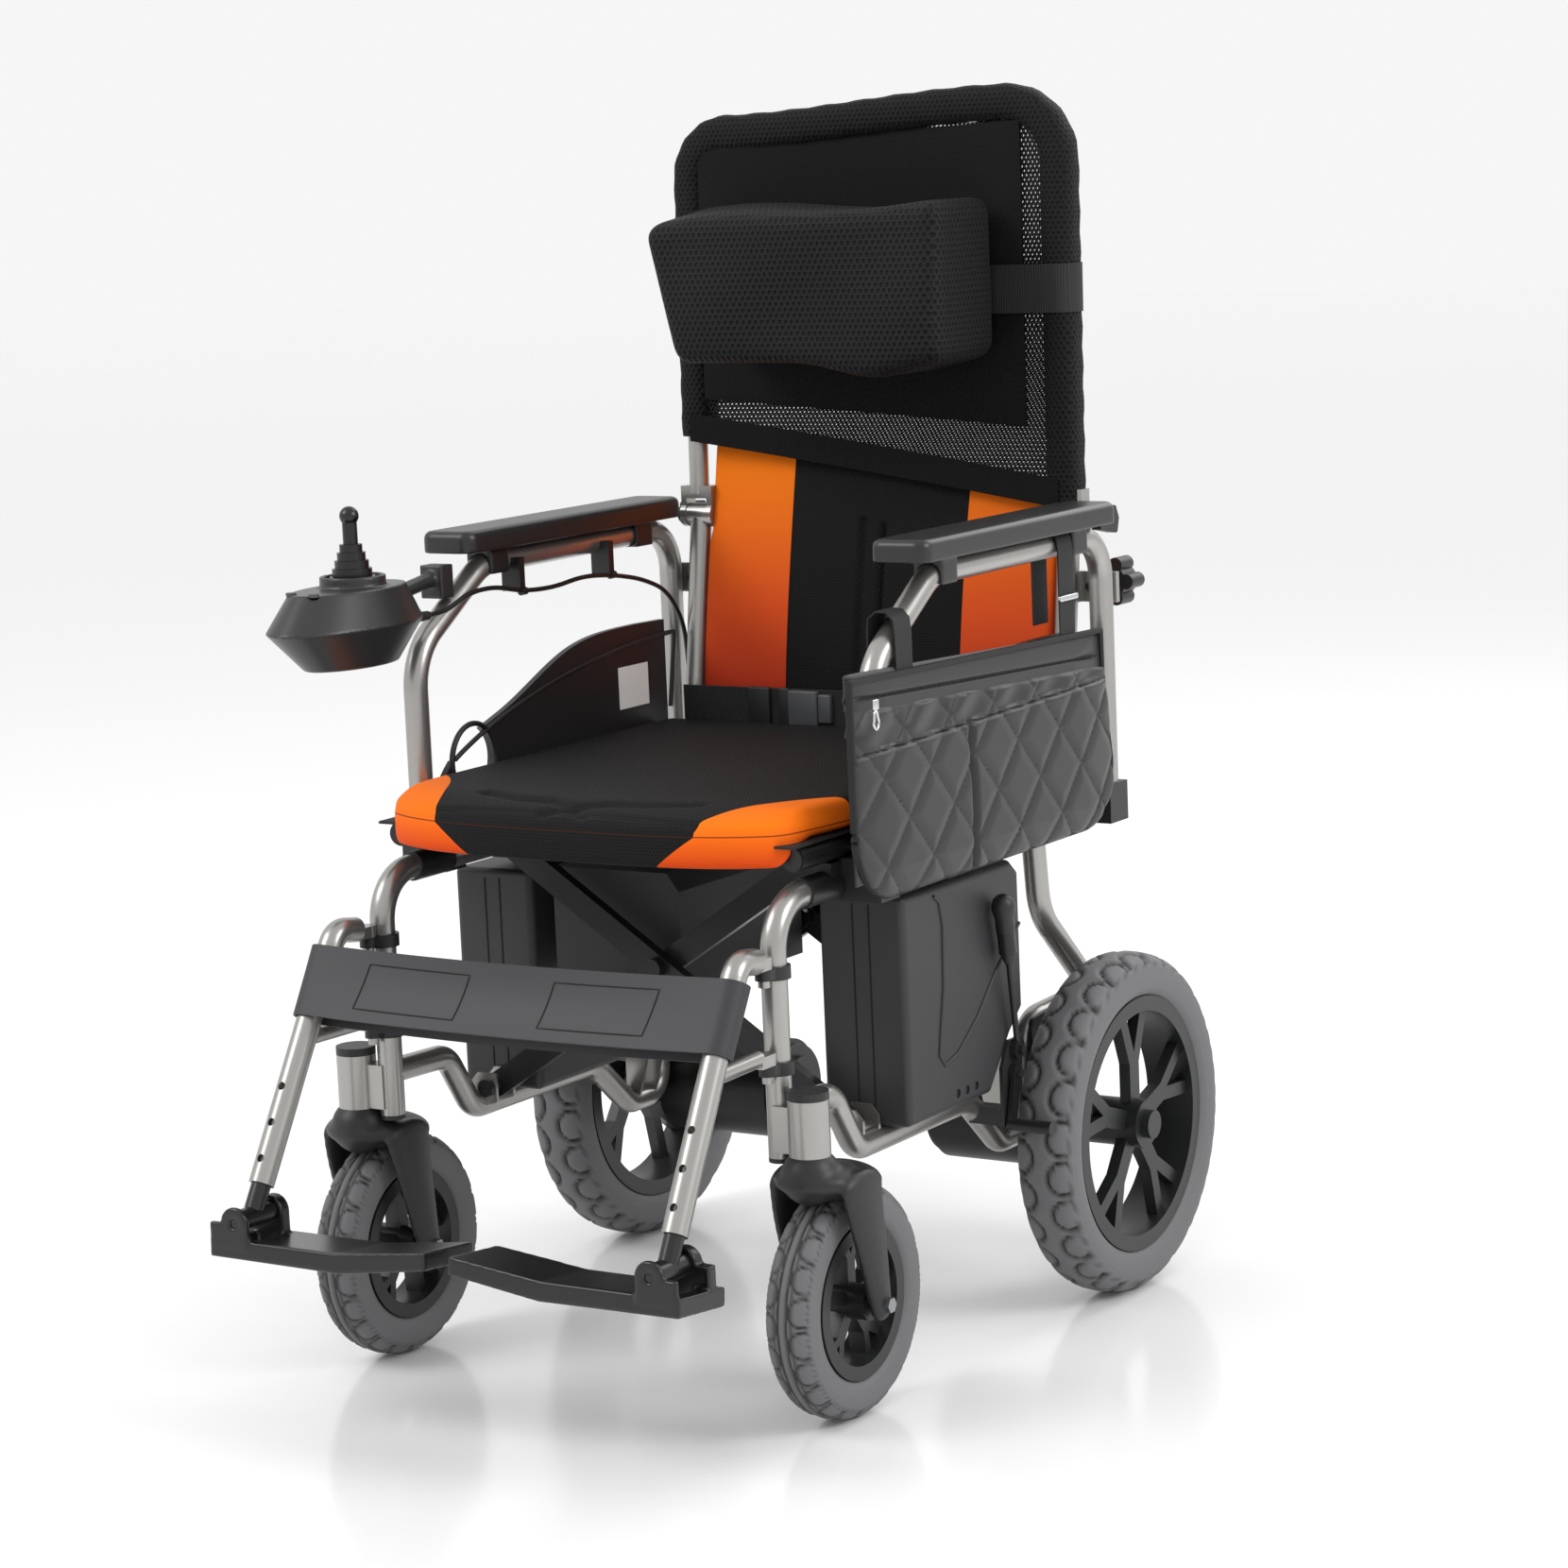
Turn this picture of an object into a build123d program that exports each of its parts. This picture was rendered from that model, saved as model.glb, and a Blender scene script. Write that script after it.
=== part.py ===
from build123d import *
import math
import os

# Power wheelchair with a folding scissor frame, side batteries, hub motors and a tall mesh back.
# +Z is up, -Y is the front and +X is the user's left. Every left piece is built at +X and its
# right twin is its mirror image. Millimetres.

os.makedirs("parts", exist_ok=True)

# Places along the length are counted from the frame's own zero; this moves the middle to y = 0.
length_shift = 138.0

# Running clearances
pin_gap = 0.05
face_gap = 0.3

# Tubes
tube_r = 11.0
cane_r = 10.5
bend_r = 42.0

# Side frame
frame_x = 201.0
front_post_y = -347.0
front_post_foot_z = 228.0
top_rail_z = 440.0
top_rail_rear_y = 96.0
low_rail_front_z = 266.0
low_rail_z = 208.0
motor_rail_z = 158.0
loop_y = 68.0
loop_top_z = 256.0
stay_end_y = 204.0
cane_foot_y = 152.0
back_hinge_y = 187.0
back_hinge_z = 702.0
hinge_pin_r = 4.0
hinge_cheek = 6.0

# Casters
caster_x = frame_x + 32.0
stem_y = -354.0
caster_trail = 44.0
caster_r = 100.0
caster_width = 44.0
caster_rim_r = 66.0
stem_r = 10.0
stem_housing_r = 17.5
stem_housing_low = 225.0
stem_housing_high = 281.0
fork_leg_in = 27.0
fork_leg_out = 40.0
caster_axle_r = 6.0

# Rear wheels and motors
axle_y = 130.0
wheel_r = 156.0
wheel_x = frame_x + 63.0
wheel_width = 57.0
wheel_rim_r = 117.0
hub_outer_x = wheel_x + 36.0
shaft_r = 8.0
motor_r = 48.0
motor_in_x = frame_x - 124.0
motor_out_x = frame_x + tube_r
motor_plate = 4.0
spoke_count = 5

# Scissor frame and seat
pivot_x = frame_x - 14.0
pivot_z = 226.0
seat_rail_x = frame_x + 1.0
seat_rail_z = 471.0
seat_rail_front_y = -313.0
seat_rail_rear_y = 118.0
arm_height = 22.0
arm_thick = 11.0
arm_front_y = -222.0
arm_rear_y = 24.0
arm_pin_r = 5.0
ear_thick = 3.0
sling_thick = 2.0
cushion_half = frame_x + 12.0
cushion_front_y = -362.0
cushion_rear_y = 132.0
cushion_top_z = 508.0

# Battery and controller
battery_in_x = frame_x - 51.0
battery_out_x = frame_x + 34.0
battery_front_y = -195.0
battery_rear_y = 10.0
battery_low_z = low_rail_z + tube_r + face_gap
battery_high_z = 420.0
box_low_x = 72.0 - frame_x
box_high_x = 5.0
box_low_z = 318.0
box_high_z = 425.7

# Armrests
arm_x = frame_x + 34.0
arm_front_post_y = -236.0
arm_rear_post_y = 180.0
arm_top_z = 690.0
arm_foot_z = 430.0
socket_low_z = 426.0
socket_high_z = 462.0
pad_half = 28.0
pad_front_y = -183.0
pad_rear_y = 166.0
pad_top_z = 722.0
guard_in_x = arm_x - 16.0
guard_thick = 6.0

# Legrests
swing_x = frame_x + 2.0
swing_y = -366.0
swing_pin_r = 5.0
upper_lug_z = 380.0
lower_lug_z = 300.0
lug_thick = 9.0
leg_top = Vector(frame_x + 4.0, -408.0, 402.0)
leg_foot = Vector(frame_x + 8.0, -522.0, 205.0)
foot_tube_r = 8.5
foot_tube_inside = 70.0
foot_pin = Vector(leg_foot.X, -541.0, 180.0)
plate_front_y = -562.0
plate_depth = 68.0
plate_inner_x = 12.0
plate_low_z = 150.0
plate_tilt = 6.0

# Brakes
brake_x = arm_x + 6.0
brake_pivot_y = -17.0
brake_pivot_z = 253.0
link_pivot_y = -22.0
link_pivot_z = 232.0
brake_bar_y = -34.0
brake_bar_z = 188.0

# Upper back
post_x = frame_x + 1.0
post_top_y = 194.26
post_top_z = 1036.0
cover_half = frame_x + 14.0
cover_top_z = post_top_z + 62.0
cover_wall = 3.0
pad_back_half = frame_x - tube_r - face_gap

# Side bag
bag_in_x = arm_x + tube_r + 3.0
bag_thick = 17.0
bag_front_y = -293.0
bag_rear_y = 160.0
bag_low_z = 430.0
bag_high_z = 620.0

# Joystick
pod_x = -arm_x - 1.0
pod_y = -330.0
pod_width = 100.0
pod_length = 182.0
pod_low_z = 620.0
pod_mid_z = 656.0
pod_high_z = 688.0
stick_pivot_z = 680.0
stick_y = -316.0
stick_top_z = 758.0
lead_r = 2.2
lead_x = -frame_x - 13.6
lead_exit_y = -238.0
lead_exit_z = 654.0
boot_hole_r = 25.0
button_r = 4.5


def save(name, part):
    """Moves a finished piece to the chair's frame, labels it and writes it."""
    placed = Pos(0, length_shift, 0) * part
    placed.label = name
    export_step(placed, f"parts/{name}.step")


def save_pair(name, part):
    """Writes a left piece and its mirror image on the right."""
    save(f"left_{name}", part)
    save(f"right_{name}", mirror(part, about=Plane.YZ))


def block(low, high, mode=Mode.ADD):
    """Adds a box between two corners to the part being built."""
    size = [b - a for a, b in zip(low, high)]
    middle = [(a + b) / 2 for a, b in zip(low, high)]
    with Locations(tuple(middle)):
        Box(*size, mode=mode)


def rod(start, end, radius, mode=Mode.ADD):
    """Adds a round bar between two points to the part being built."""
    run = Vector(*end) - Vector(*start)
    with BuildSketch(Plane(origin=start, z_dir=run)) as section:
        Circle(radius)
    extrude(section.sketch, amount=run.length, mode=mode)


def bent_rod(points, bends, radius, mode=Mode.ADD):
    """Adds a round bar along straight runs joined by arcs to the part being built."""
    with BuildLine() as path:
        FilletPolyline(*points, radius=bends)
    with BuildSketch(Plane(origin=path.line @ 0, z_dir=path.line % 0)) as section:
        Circle(radius)
    sweep(section.sketch, path=path.line, mode=mode)


def plate(points, plane, thickness, corner=0.0, mode=Mode.ADD):
    """Adds a flat plate with an outline of straight edges to the part being built."""
    with BuildSketch(plane) as section:
        Polygon(*points, align=None)
        if corner:
            fillet(section.vertices(), corner)
    extrude(section.sketch, amount=thickness, mode=mode)


def side_plane(x):
    """Plane across the chair at x: its own x runs to the back and its y runs up."""
    return Plane(origin=(x, 0, 0), x_dir=(0, 1, 0), z_dir=(1, 0, 0))


def front_plane(y):
    """Plane facing the back at y: its own x runs to the user's right and its y runs up."""
    return Plane(origin=(0, y, 0), x_dir=(-1, 0, 0), z_dir=(0, 1, 0))


def cane_y(z):
    """Middle of the back cane at a height."""
    slope = (back_hinge_y - cane_foot_y) / (back_hinge_z - top_rail_z)
    return cane_foot_y + slope * (z - top_rail_z)


def post_y(z):
    """Middle of the upper back post at a height."""
    slope = (post_top_y - back_hinge_y) / (post_top_z - back_hinge_z)
    return back_hinge_y + slope * (z - back_hinge_z)


def pivot_ears():
    """Ear plates that carry the lower ends of the scissor arms, in front and rear pairs."""
    pair_depth = 2 * arm_thick + 2 * face_gap
    ears = []
    for start, rail_z in ((arm_front_y, low_rail_z), (arm_rear_y, motor_rail_z)):
        ears.append((start - face_gap - ear_thick, rail_z))
        ears.append((start + pair_depth, rail_z))
    return ears


# Side frame: bent steel tube, with the caster housing, scissor ears and back cane welded on
knob_x = (frame_x + arm_x) / 2
knob_z = 640.0
knob_plate_y = arm_rear_post_y + tube_r + face_gap
knob_plate = 6.0
knob_stud_r = 4.0
with BuildPart() as frame:
    bent_rod(
        [
            (frame_x, front_post_y, front_post_foot_z),
            (frame_x, front_post_y, top_rail_z),
            (frame_x, top_rail_rear_y, top_rail_z),
            (frame_x, top_rail_rear_y + 10, 350),
            (frame_x, stay_end_y, 258),
        ],
        [bend_r, 30, 60],
        tube_r,
    )
    bent_rod(
        [
            (frame_x, front_post_y, low_rail_front_z),
            (frame_x, -268, low_rail_front_z - 3),
            (frame_x, -232, low_rail_z),
            (frame_x, -42, low_rail_z),
            (frame_x, 14, motor_rail_z),
            (frame_x, loop_y, motor_rail_z),
            (frame_x, loop_y, loop_top_z),
            (frame_x, stay_end_y - 8, loop_top_z + 4),
        ],
        [24, 24, 34, 22, 24, 30],
        tube_r,
    )
    bent_rod(
        [
            (frame_x, top_rail_rear_y - 30, top_rail_z),
            (frame_x, cane_foot_y, top_rail_z),
            (frame_x, back_hinge_y, back_hinge_z),
        ],
        [34],
        cane_r,
    )
    rod((frame_x - tube_r, back_hinge_y, back_hinge_z), (frame_x + tube_r, back_hinge_y, back_hinge_z),
        tube_r)
    rod((frame_x - tube_r - 1, back_hinge_y, back_hinge_z),
        (frame_x + tube_r + 1, back_hinge_y, back_hinge_z), hinge_pin_r + pin_gap, Mode.SUBTRACT)
    with Locations((caster_x, stem_y, stem_housing_low)):
        Cylinder(stem_housing_r, stem_housing_high - stem_housing_low,
                 align=(Align.CENTER, Align.CENTER, Align.MIN))
    block((frame_x, stem_y - 6, stem_housing_low + 9), (caster_x, stem_y + 12, stem_housing_high - 8))
    for ear_y, rail_z in pivot_ears():
        plate(
            [(-178, pivot_z + 13), (-178, pivot_z - 13), (-193, rail_z), (-206, rail_z),
             (-206, pivot_z + 4), (-198, pivot_z + 13)],
            front_plane(ear_y),
            ear_thick,
        )
    block((frame_x - 8, cane_y(knob_z) + 6, knob_z - 14),
          (frame_x + 8, knob_plate_y + knob_plate, knob_z + 14))
    block((frame_x - 8, knob_plate_y, knob_z - 14), (arm_x + 10, knob_plate_y + knob_plate, knob_z + 14))
    rod((knob_x, knob_plate_y - 1, knob_z), (knob_x, knob_plate_y + knob_plate + 1, knob_z),
        knob_stud_r + pin_gap, Mode.SUBTRACT)
    rod((caster_x, stem_y, stem_housing_low - 1), (caster_x, stem_y, stem_housing_high + 1),
        stem_r + pin_gap, Mode.SUBTRACT)
save_pair("frame", frame.part)

# Rear hinge of the armrest and other fittings: black sleeves, sockets, lugs, pins and saddles
with BuildPart() as fittings:
    rod((frame_x, front_post_y + bend_r + 4, top_rail_z), (frame_x, -252, top_rail_z), tube_r + 2)
    rod((frame_x, front_post_y, front_post_foot_z - 4), (frame_x, front_post_y, front_post_foot_z),
        tube_r)
    with Locations((caster_x, stem_y, stem_housing_high)):
        Cylinder(stem_housing_r, 7, align=(Align.CENTER, Align.CENTER, Align.MIN))
    for rest_y in (-268, 60):
        block((frame_x - 8, rest_y, top_rail_z), (frame_x + 10, rest_y + 20, seat_rail_z - tube_r))
    for lug_z in (upper_lug_z, lower_lug_z):
        rod((frame_x, front_post_y, lug_z - 2), (frame_x, front_post_y, lug_z + lug_thick),
            tube_r + 3)
        rod((swing_x, swing_y, lug_z), (swing_x, swing_y, lug_z + lug_thick), 7.4)
        block((swing_x - 7.4, swing_y, lug_z), (swing_x + 7.4, front_post_y, lug_z + lug_thick))
        rod((swing_x, swing_y, lug_z - 1), (swing_x, swing_y, lug_z + lug_thick + 1),
            swing_pin_r + pin_gap, Mode.SUBTRACT)
    socket_out_x = arm_x + 13.5
    block((frame_x, arm_front_post_y - 15, socket_low_z),
          (socket_out_x, arm_front_post_y + 15, socket_high_z))
    block((arm_x - 14, arm_rear_post_y - 19, socket_low_z),
          (socket_out_x, arm_rear_post_y + 15, socket_high_z))
    block((frame_x, cane_foot_y - 6, socket_low_z), (arm_x - 13, cane_foot_y + 10, top_rail_z + 6))
    for post in (arm_front_post_y, arm_rear_post_y):
        rod((arm_x, post, arm_foot_z), (arm_x, post, socket_high_z + 1), tube_r + pin_gap,
            Mode.SUBTRACT)
    plate([(58, 142), (150, 142), (182, 190), (182, 262), (140, 268), (58, 262)],
          side_plane(motor_out_x), motor_plate, 8)
    rod((motor_out_x - 1, axle_y, wheel_r), (motor_out_x + motor_plate + 1, axle_y, wheel_r),
        shaft_r + 1, Mode.SUBTRACT)
    block((frame_x, brake_pivot_y - 19, 186), (brake_x - 5.3, brake_pivot_y - 3, 202))
    plate([(-40, 186), (-20, 186), (-4, 240), (-4, 262), (-27, 262), (-40, 240)],
          side_plane(brake_x - 5.3), 3.5)
    rod((brake_x - 5, brake_pivot_y, brake_pivot_z), (brake_x + 8, brake_pivot_y, brake_pivot_z), 4)
    rod((brake_x - 5, link_pivot_y, link_pivot_z), (brake_x + 8, link_pivot_y, link_pivot_z), 4)
    rod((seat_rail_x, seat_rail_front_y - 3, seat_rail_z), (seat_rail_x, seat_rail_rear_y + 3, seat_rail_z),
        tube_r + face_gap, Mode.SUBTRACT)
    add(frame.part, mode=Mode.SUBTRACT)
    pair_depth = 2 * arm_thick + 2 * face_gap
    for start in (arm_front_y, arm_rear_y):
        rod((pivot_x, start - face_gap, pivot_z), (pivot_x, start + pair_depth, pivot_z), arm_pin_r)
        rod((pivot_x, start - face_gap - ear_thick - 5, pivot_z),
            (pivot_x, start - face_gap - ear_thick, pivot_z), 8)
save_pair("frame_fittings", fittings.part)

# Battery case: moulded box with a sloped rear foot and a carrying hook on top
hook_y = -90.0
with BuildPart() as battery:
    plate(
        [(battery_front_y, battery_low_z), (battery_rear_y - 62, battery_low_z),
         (battery_rear_y - 24, battery_low_z + 46), (battery_rear_y, battery_low_z + 66),
         (battery_rear_y, battery_high_z - 12), (battery_rear_y - 14, battery_high_z),
         (battery_front_y, battery_high_z)],
        side_plane(battery_in_x),
        battery_out_x - battery_in_x,
        5,
    )
    fillet(battery.edges().filter_by(Axis.Z).group_by(Axis.Y)[0], 7)
    for bolt_y in (-112, -96, -80):
        rod((battery_out_x - 2, bolt_y, battery_low_z + 13), (battery_out_x + 1, bolt_y, battery_low_z + 13),
            4, Mode.SUBTRACT)
    # The clip over the case's top edge is bent sheet steel
    block((frame_x + 14, hook_y - 15, battery_high_z), (battery_out_x - 6, hook_y + 15, battery_high_z + 2))
    block((frame_x + 12, hook_y - 15, battery_high_z), (frame_x + 14, hook_y + 15, top_rail_z + 4))
save_pair("battery_case", battery.part)

# Drive motor: ribbed can with a stepped inner cap and the drive shaft
with BuildPart() as motor:
    rod((motor_in_x + 14, axle_y, wheel_r), (motor_out_x, axle_y, wheel_r), motor_r)
    rod((motor_in_x + 6, axle_y, wheel_r), (motor_in_x + 14, axle_y, wheel_r), motor_r - 5)
    rod((motor_in_x, axle_y, wheel_r), (motor_in_x + 6, axle_y, wheel_r), motor_r - 16)
    rod((motor_out_x, axle_y, wheel_r), (hub_outer_x - 6, axle_y, wheel_r), shaft_r)
save_pair("drive_motor", motor.part)

# Rear tyre and its five-spoked rim
with BuildPart() as rear_tyre:
    with BuildSketch(Plane(origin=(0, axle_y, wheel_r), x_dir=(1, 0, 0), z_dir=(0, -1, 0))):
        with BuildLine():
            half = wheel_width / 2
            side = wheel_x - half
            Polyline((side + 5, wheel_rim_r), (side + wheel_width - 5, wheel_rim_r),
                     (side + wheel_width, wheel_rim_r + 16))
            ThreePointArc((side + wheel_width, wheel_rim_r + 16), (wheel_x, wheel_r),
                          (side, wheel_rim_r + 16))
            Line((side, wheel_rim_r + 16), (side + 5, wheel_rim_r))
        make_face()
    revolve(axis=Axis((0, axle_y, wheel_r), (1, 0, 0)))
save_pair("rear_tyre", rear_tyre.part)

rim_in_x = wheel_x - wheel_width / 2 + 5
rim_out_x = wheel_x + wheel_width / 2 - 5
with BuildPart() as rear_rim:
    rod((rim_in_x, axle_y, wheel_r), (rim_out_x, axle_y, wheel_r), wheel_rim_r)
    rod((rim_in_x - 1, axle_y, wheel_r), (rim_out_x + 1, axle_y, wheel_r), wheel_rim_r - 14,
        Mode.SUBTRACT)
    rod((motor_out_x + motor_plate + 3, axle_y, wheel_r), (hub_outer_x - 8, axle_y, wheel_r), 22)
    rod((hub_outer_x - 8, axle_y, wheel_r), (hub_outer_x, axle_y, wheel_r), 13)
    with BuildSketch(Plane(origin=(wheel_x + 6, axle_y, wheel_r), x_dir=(0, 1, 0), z_dir=(1, 0, 0))):
        with PolarLocations(0, spoke_count, start_angle=90):
            Polygon((16, -9), (56, -9), (wheel_rim_r - 8, -30), (wheel_rim_r - 10, -16), (66, 0),
                    (wheel_rim_r - 10, 16), (wheel_rim_r - 8, 30), (56, 9), (16, 9), align=None)
    extrude(amount=11)
    rod((motor_out_x, axle_y, wheel_r), (hub_outer_x - 5, axle_y, wheel_r), shaft_r + pin_gap,
        Mode.SUBTRACT)
save_pair("rear_rim", rear_rim.part)

# Caster: fork with a fender crown, tyre, and rim on its axle bolt
caster_y = stem_y + caster_trail
with BuildPart() as fork:
    rod((caster_x, stem_y, stem_housing_low - 12), (caster_x, stem_y, stem_housing_high - 1), stem_r)
    rod((caster_x, stem_y, 204), (caster_x, stem_y, stem_housing_low - face_gap), 21)
    with BuildSketch(side_plane(caster_x - fork_leg_out)) as leg:
        with BuildLine():
            Polyline((stem_y - 24, 196), (stem_y - 20, 212), (stem_y - 12, 224), (stem_y + 22, 224),
                     (caster_y + 4, 200), (caster_y + 26, 150), (caster_y + 17, 100))
            ThreePointArc((caster_y + 17, 100), (caster_y, 83), (caster_y - 15, 92))
            Polyline((caster_y - 15, 92), (caster_y - 22, 150), (caster_y - 36, 186),
                     (stem_y - 24, 196))
        make_face()
    extrude(leg.sketch, amount=2 * fork_leg_out)
    block((caster_x - fork_leg_in, stem_y - 60, 60), (caster_x + fork_leg_in, caster_y + 90, 200),
          Mode.SUBTRACT)
    rod((caster_x - fork_leg_in, caster_y, caster_r), (caster_x + fork_leg_in, caster_y, caster_r),
        caster_r + 4, Mode.SUBTRACT)
    rod((caster_x - fork_leg_out - 7, caster_y, caster_r), (caster_x + fork_leg_out + 7, caster_y, caster_r),
        caster_axle_r)
    for end in (-1, 1):
        rod((caster_x + end * fork_leg_out, caster_y, caster_r),
            (caster_x + end * (fork_leg_out + 6), caster_y, caster_r), 9)
save_pair("caster_fork", fork.part)

with BuildPart() as caster_tyre:
    with BuildSketch(Plane(origin=(0, caster_y, caster_r), x_dir=(1, 0, 0), z_dir=(0, -1, 0))):
        with BuildLine():
            low_x = caster_x - caster_width / 2
            high_x = caster_x + caster_width / 2
            Polyline((low_x + 3, caster_rim_r), (high_x - 3, caster_rim_r), (high_x, caster_rim_r + 14))
            ThreePointArc((high_x, caster_rim_r + 14), (caster_x, caster_r), (low_x, caster_rim_r + 14))
            Line((low_x, caster_rim_r + 14), (low_x + 3, caster_rim_r))
        make_face()
    revolve(axis=Axis((0, caster_y, caster_r), (1, 0, 0)))
save_pair("caster_tyre", caster_tyre.part)

with BuildPart() as caster_rim:
    rod((caster_x - 19, caster_y, caster_r), (caster_x + 19, caster_y, caster_r), caster_rim_r)
    rod((caster_x - 20, caster_y, caster_r), (caster_x + 20, caster_y, caster_r), caster_rim_r - 12,
        Mode.SUBTRACT)
    rod((caster_x - fork_leg_in + face_gap, caster_y, caster_r),
        (caster_x + fork_leg_in - face_gap, caster_y, caster_r), 15)
    with BuildSketch(Plane(origin=(caster_x - 8, caster_y, caster_r), x_dir=(0, 1, 0), z_dir=(1, 0, 0))):
        with PolarLocations(0, spoke_count, start_angle=90):
            Polygon((10, -6), (36, -6), (caster_rim_r - 8, -19), (caster_rim_r - 8, -9), (40, 0),
                    (caster_rim_r - 8, 9), (caster_rim_r - 8, 19), (36, 6), (10, 6), align=None)
    extrude(amount=16)
    rod((caster_x - 30, caster_y, caster_r), (caster_x + 30, caster_y, caster_r),
        caster_axle_r + pin_gap, Mode.SUBTRACT)
save_pair("caster_rim", caster_rim.part)

# Seat: two scissor arms, each welded to its rail, a sling across the rails and the cushion on it
half_rise = (seat_rail_z - pivot_z) / 2
arm_run = math.hypot(pivot_x, half_rise)
arm_angle = math.degrees(math.atan2(half_rise, pivot_x))
cross_z = pivot_z + half_rise


def scissor_arm(side, layer):
    """Front and rear bars of one arm, from its foot on one side to the rail on the other."""
    for start in (arm_front_y, arm_rear_y):
        bar_y = start + layer * (arm_thick + face_gap)
        with BuildSketch(front_plane(bar_y)) as bar:
            with Locations((0, cross_z)):
                SlotCenterToCenter(2 * arm_run, arm_height, rotation=side * arm_angle)
            with Locations((side * -pivot_x, pivot_z), (0, cross_z)):
                Circle(arm_pin_r + pin_gap, mode=Mode.SUBTRACT)
        extrude(bar.sketch, amount=arm_thick)
    rail_x = -side * seat_rail_x
    rod((rail_x, seat_rail_front_y, seat_rail_z), (rail_x, seat_rail_rear_y, seat_rail_z), tube_r)
    rod((rail_x, seat_rail_front_y - 2, seat_rail_z), (rail_x, seat_rail_rear_y + 2, seat_rail_z),
        tube_r - 1)


with BuildPart() as arm_a:
    scissor_arm(1, 0)
save("cross_arm_a", arm_a.part)

with BuildPart() as arm_b:
    scissor_arm(-1, 1)
    for start in (arm_front_y, arm_rear_y):
        rod((0, start - 4, cross_z), (0, start + 2 * arm_thick + face_gap, cross_z), arm_pin_r)
        rod((0, start - 9, cross_z), (0, start - face_gap, cross_z), 9)
save("cross_arm_b", arm_b.part)

sling_low_z = seat_rail_z + tube_r + face_gap
with BuildPart() as sling:
    block((-cushion_half, seat_rail_front_y + 2, sling_low_z),
          (cushion_half, seat_rail_rear_y, sling_low_z + sling_thick))
save("seat_sling", sling.part)

with BuildPart() as cushion:
    block((-cushion_half, cushion_front_y, sling_low_z + sling_thick + face_gap),
          (cushion_half, cushion_rear_y, cushion_top_z))
    fillet(cushion.edges().filter_by(Axis.Z), 24)
    fillet(cushion.faces().sort_by(Axis.Z)[-1].edges(), 8)
save("seat_cushion", cushion.part)

# Controller box, hung from the right top rail by a bracket
with BuildPart() as controller:
    plate(
        [(-box_high_x, box_low_z), (-box_low_x, box_low_z), (-box_low_x, box_high_z),
         (-box_high_x + 12, box_high_z), (-box_high_x, box_high_z - 16)],
        front_plane(-190),
        200,
    )
    block((-frame_x, -150, box_high_z), (box_low_x + 20, -110, top_rail_z - tube_r))
save("controller_box", controller.part)

# Armrest: tube loop in two sockets, pad on blocks, and the skirt guard
with BuildPart() as armrest:
    bent_rod(
        [
            (arm_x, arm_front_post_y, arm_foot_z),
            (arm_x, arm_front_post_y, 618),
            (arm_x, -128, arm_top_z - 2),
            (arm_x, arm_rear_post_y, arm_top_z),
            (arm_x, arm_rear_post_y, arm_foot_z),
        ],
        [60, 60, 40],
        tube_r,
    )
save_pair("armrest_frame", armrest.part)

pad_low_z = arm_top_z + tube_r + 1
with BuildPart() as armpad:
    block((arm_x - pad_half, pad_front_y, pad_low_z), (arm_x + pad_half, pad_rear_y, pad_top_z))
    fillet(armpad.edges().filter_by(Axis.Z), 12)
    fillet(armpad.faces().sort_by(Axis.Z)[-1].edges(), 7)
    for pad_block_y in (-118, 118):
        block((arm_x - 14, pad_block_y - 14, arm_top_z - 12), (arm_x + 14, pad_block_y + 14, pad_low_z))
    add(armrest.part, mode=Mode.SUBTRACT)
save_pair("armpad", armpad.part)

guard_front_y = arm_front_post_y + 3
guard_low_z = 466.0
with BuildPart() as guard:
    with BuildSketch(side_plane(guard_in_x)) as outline:
        with BuildLine():
            Polyline((guard_front_y, 490), (guard_front_y, guard_low_z), (140, guard_low_z), (140, 605),
                     (96, 606))
            Spline((96, 606), (-20, 596), (-120, 556), (guard_front_y, 490),
                   tangents=[(-1, 0), (-0.6, -1)])
        make_face()
        with Locations((-178, 516)):
            Circle(30, mode=Mode.SUBTRACT)
    extrude(outline.sketch, amount=guard_thick)
    for post, reach in ((arm_front_post_y, 1), (arm_rear_post_y, -1)):
        block((guard_in_x, min(post, post + reach * 44), guard_low_z + 4),
              (guard_in_x + guard_thick, max(post, post + reach * 44), guard_low_z + 18))
    add(armrest.part, mode=Mode.SUBTRACT)
save_pair("skirt_guard", guard.part)

# Legrest: hanger on two vertical pins, leg tube with adjustment holes and a lower brace
leg_run = (leg_foot - leg_top).normalized()
brace_meet = leg_top + leg_run * 98
leg_face = Vector(0, leg_run.Z, -leg_run.Y)
with BuildPart() as legrest:
    bent_rod([(swing_x + 1, swing_y - 15, leg_top.Z - 4), tuple(leg_top), tuple(leg_foot)], [18], tube_r)
    for lug_z in (upper_lug_z, lower_lug_z):
        ear_low = lug_z + lug_thick + face_gap
        rod((swing_x, swing_y, ear_low), (swing_x, swing_y, ear_low + 10), 7.4)
        block((swing_x - 7, swing_y - 18, ear_low), (swing_x + 7, swing_y, ear_low + 10))
        rod((swing_x, swing_y, lug_z - 6), (swing_x, swing_y, ear_low + 10), swing_pin_r)
    rod((swing_x, swing_y - 14, lower_lug_z + lug_thick + 8), tuple(brace_meet), 7)
    rod(tuple(leg_foot - leg_run * (foot_tube_inside + 4)), tuple(leg_foot + leg_run),
        foot_tube_r + face_gap, Mode.SUBTRACT)
    for step in (20, 52, 84):
        hole = leg_foot - leg_run * step
        rod(tuple(hole), tuple(hole + leg_face * 20), 3.5, Mode.SUBTRACT)
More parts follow.
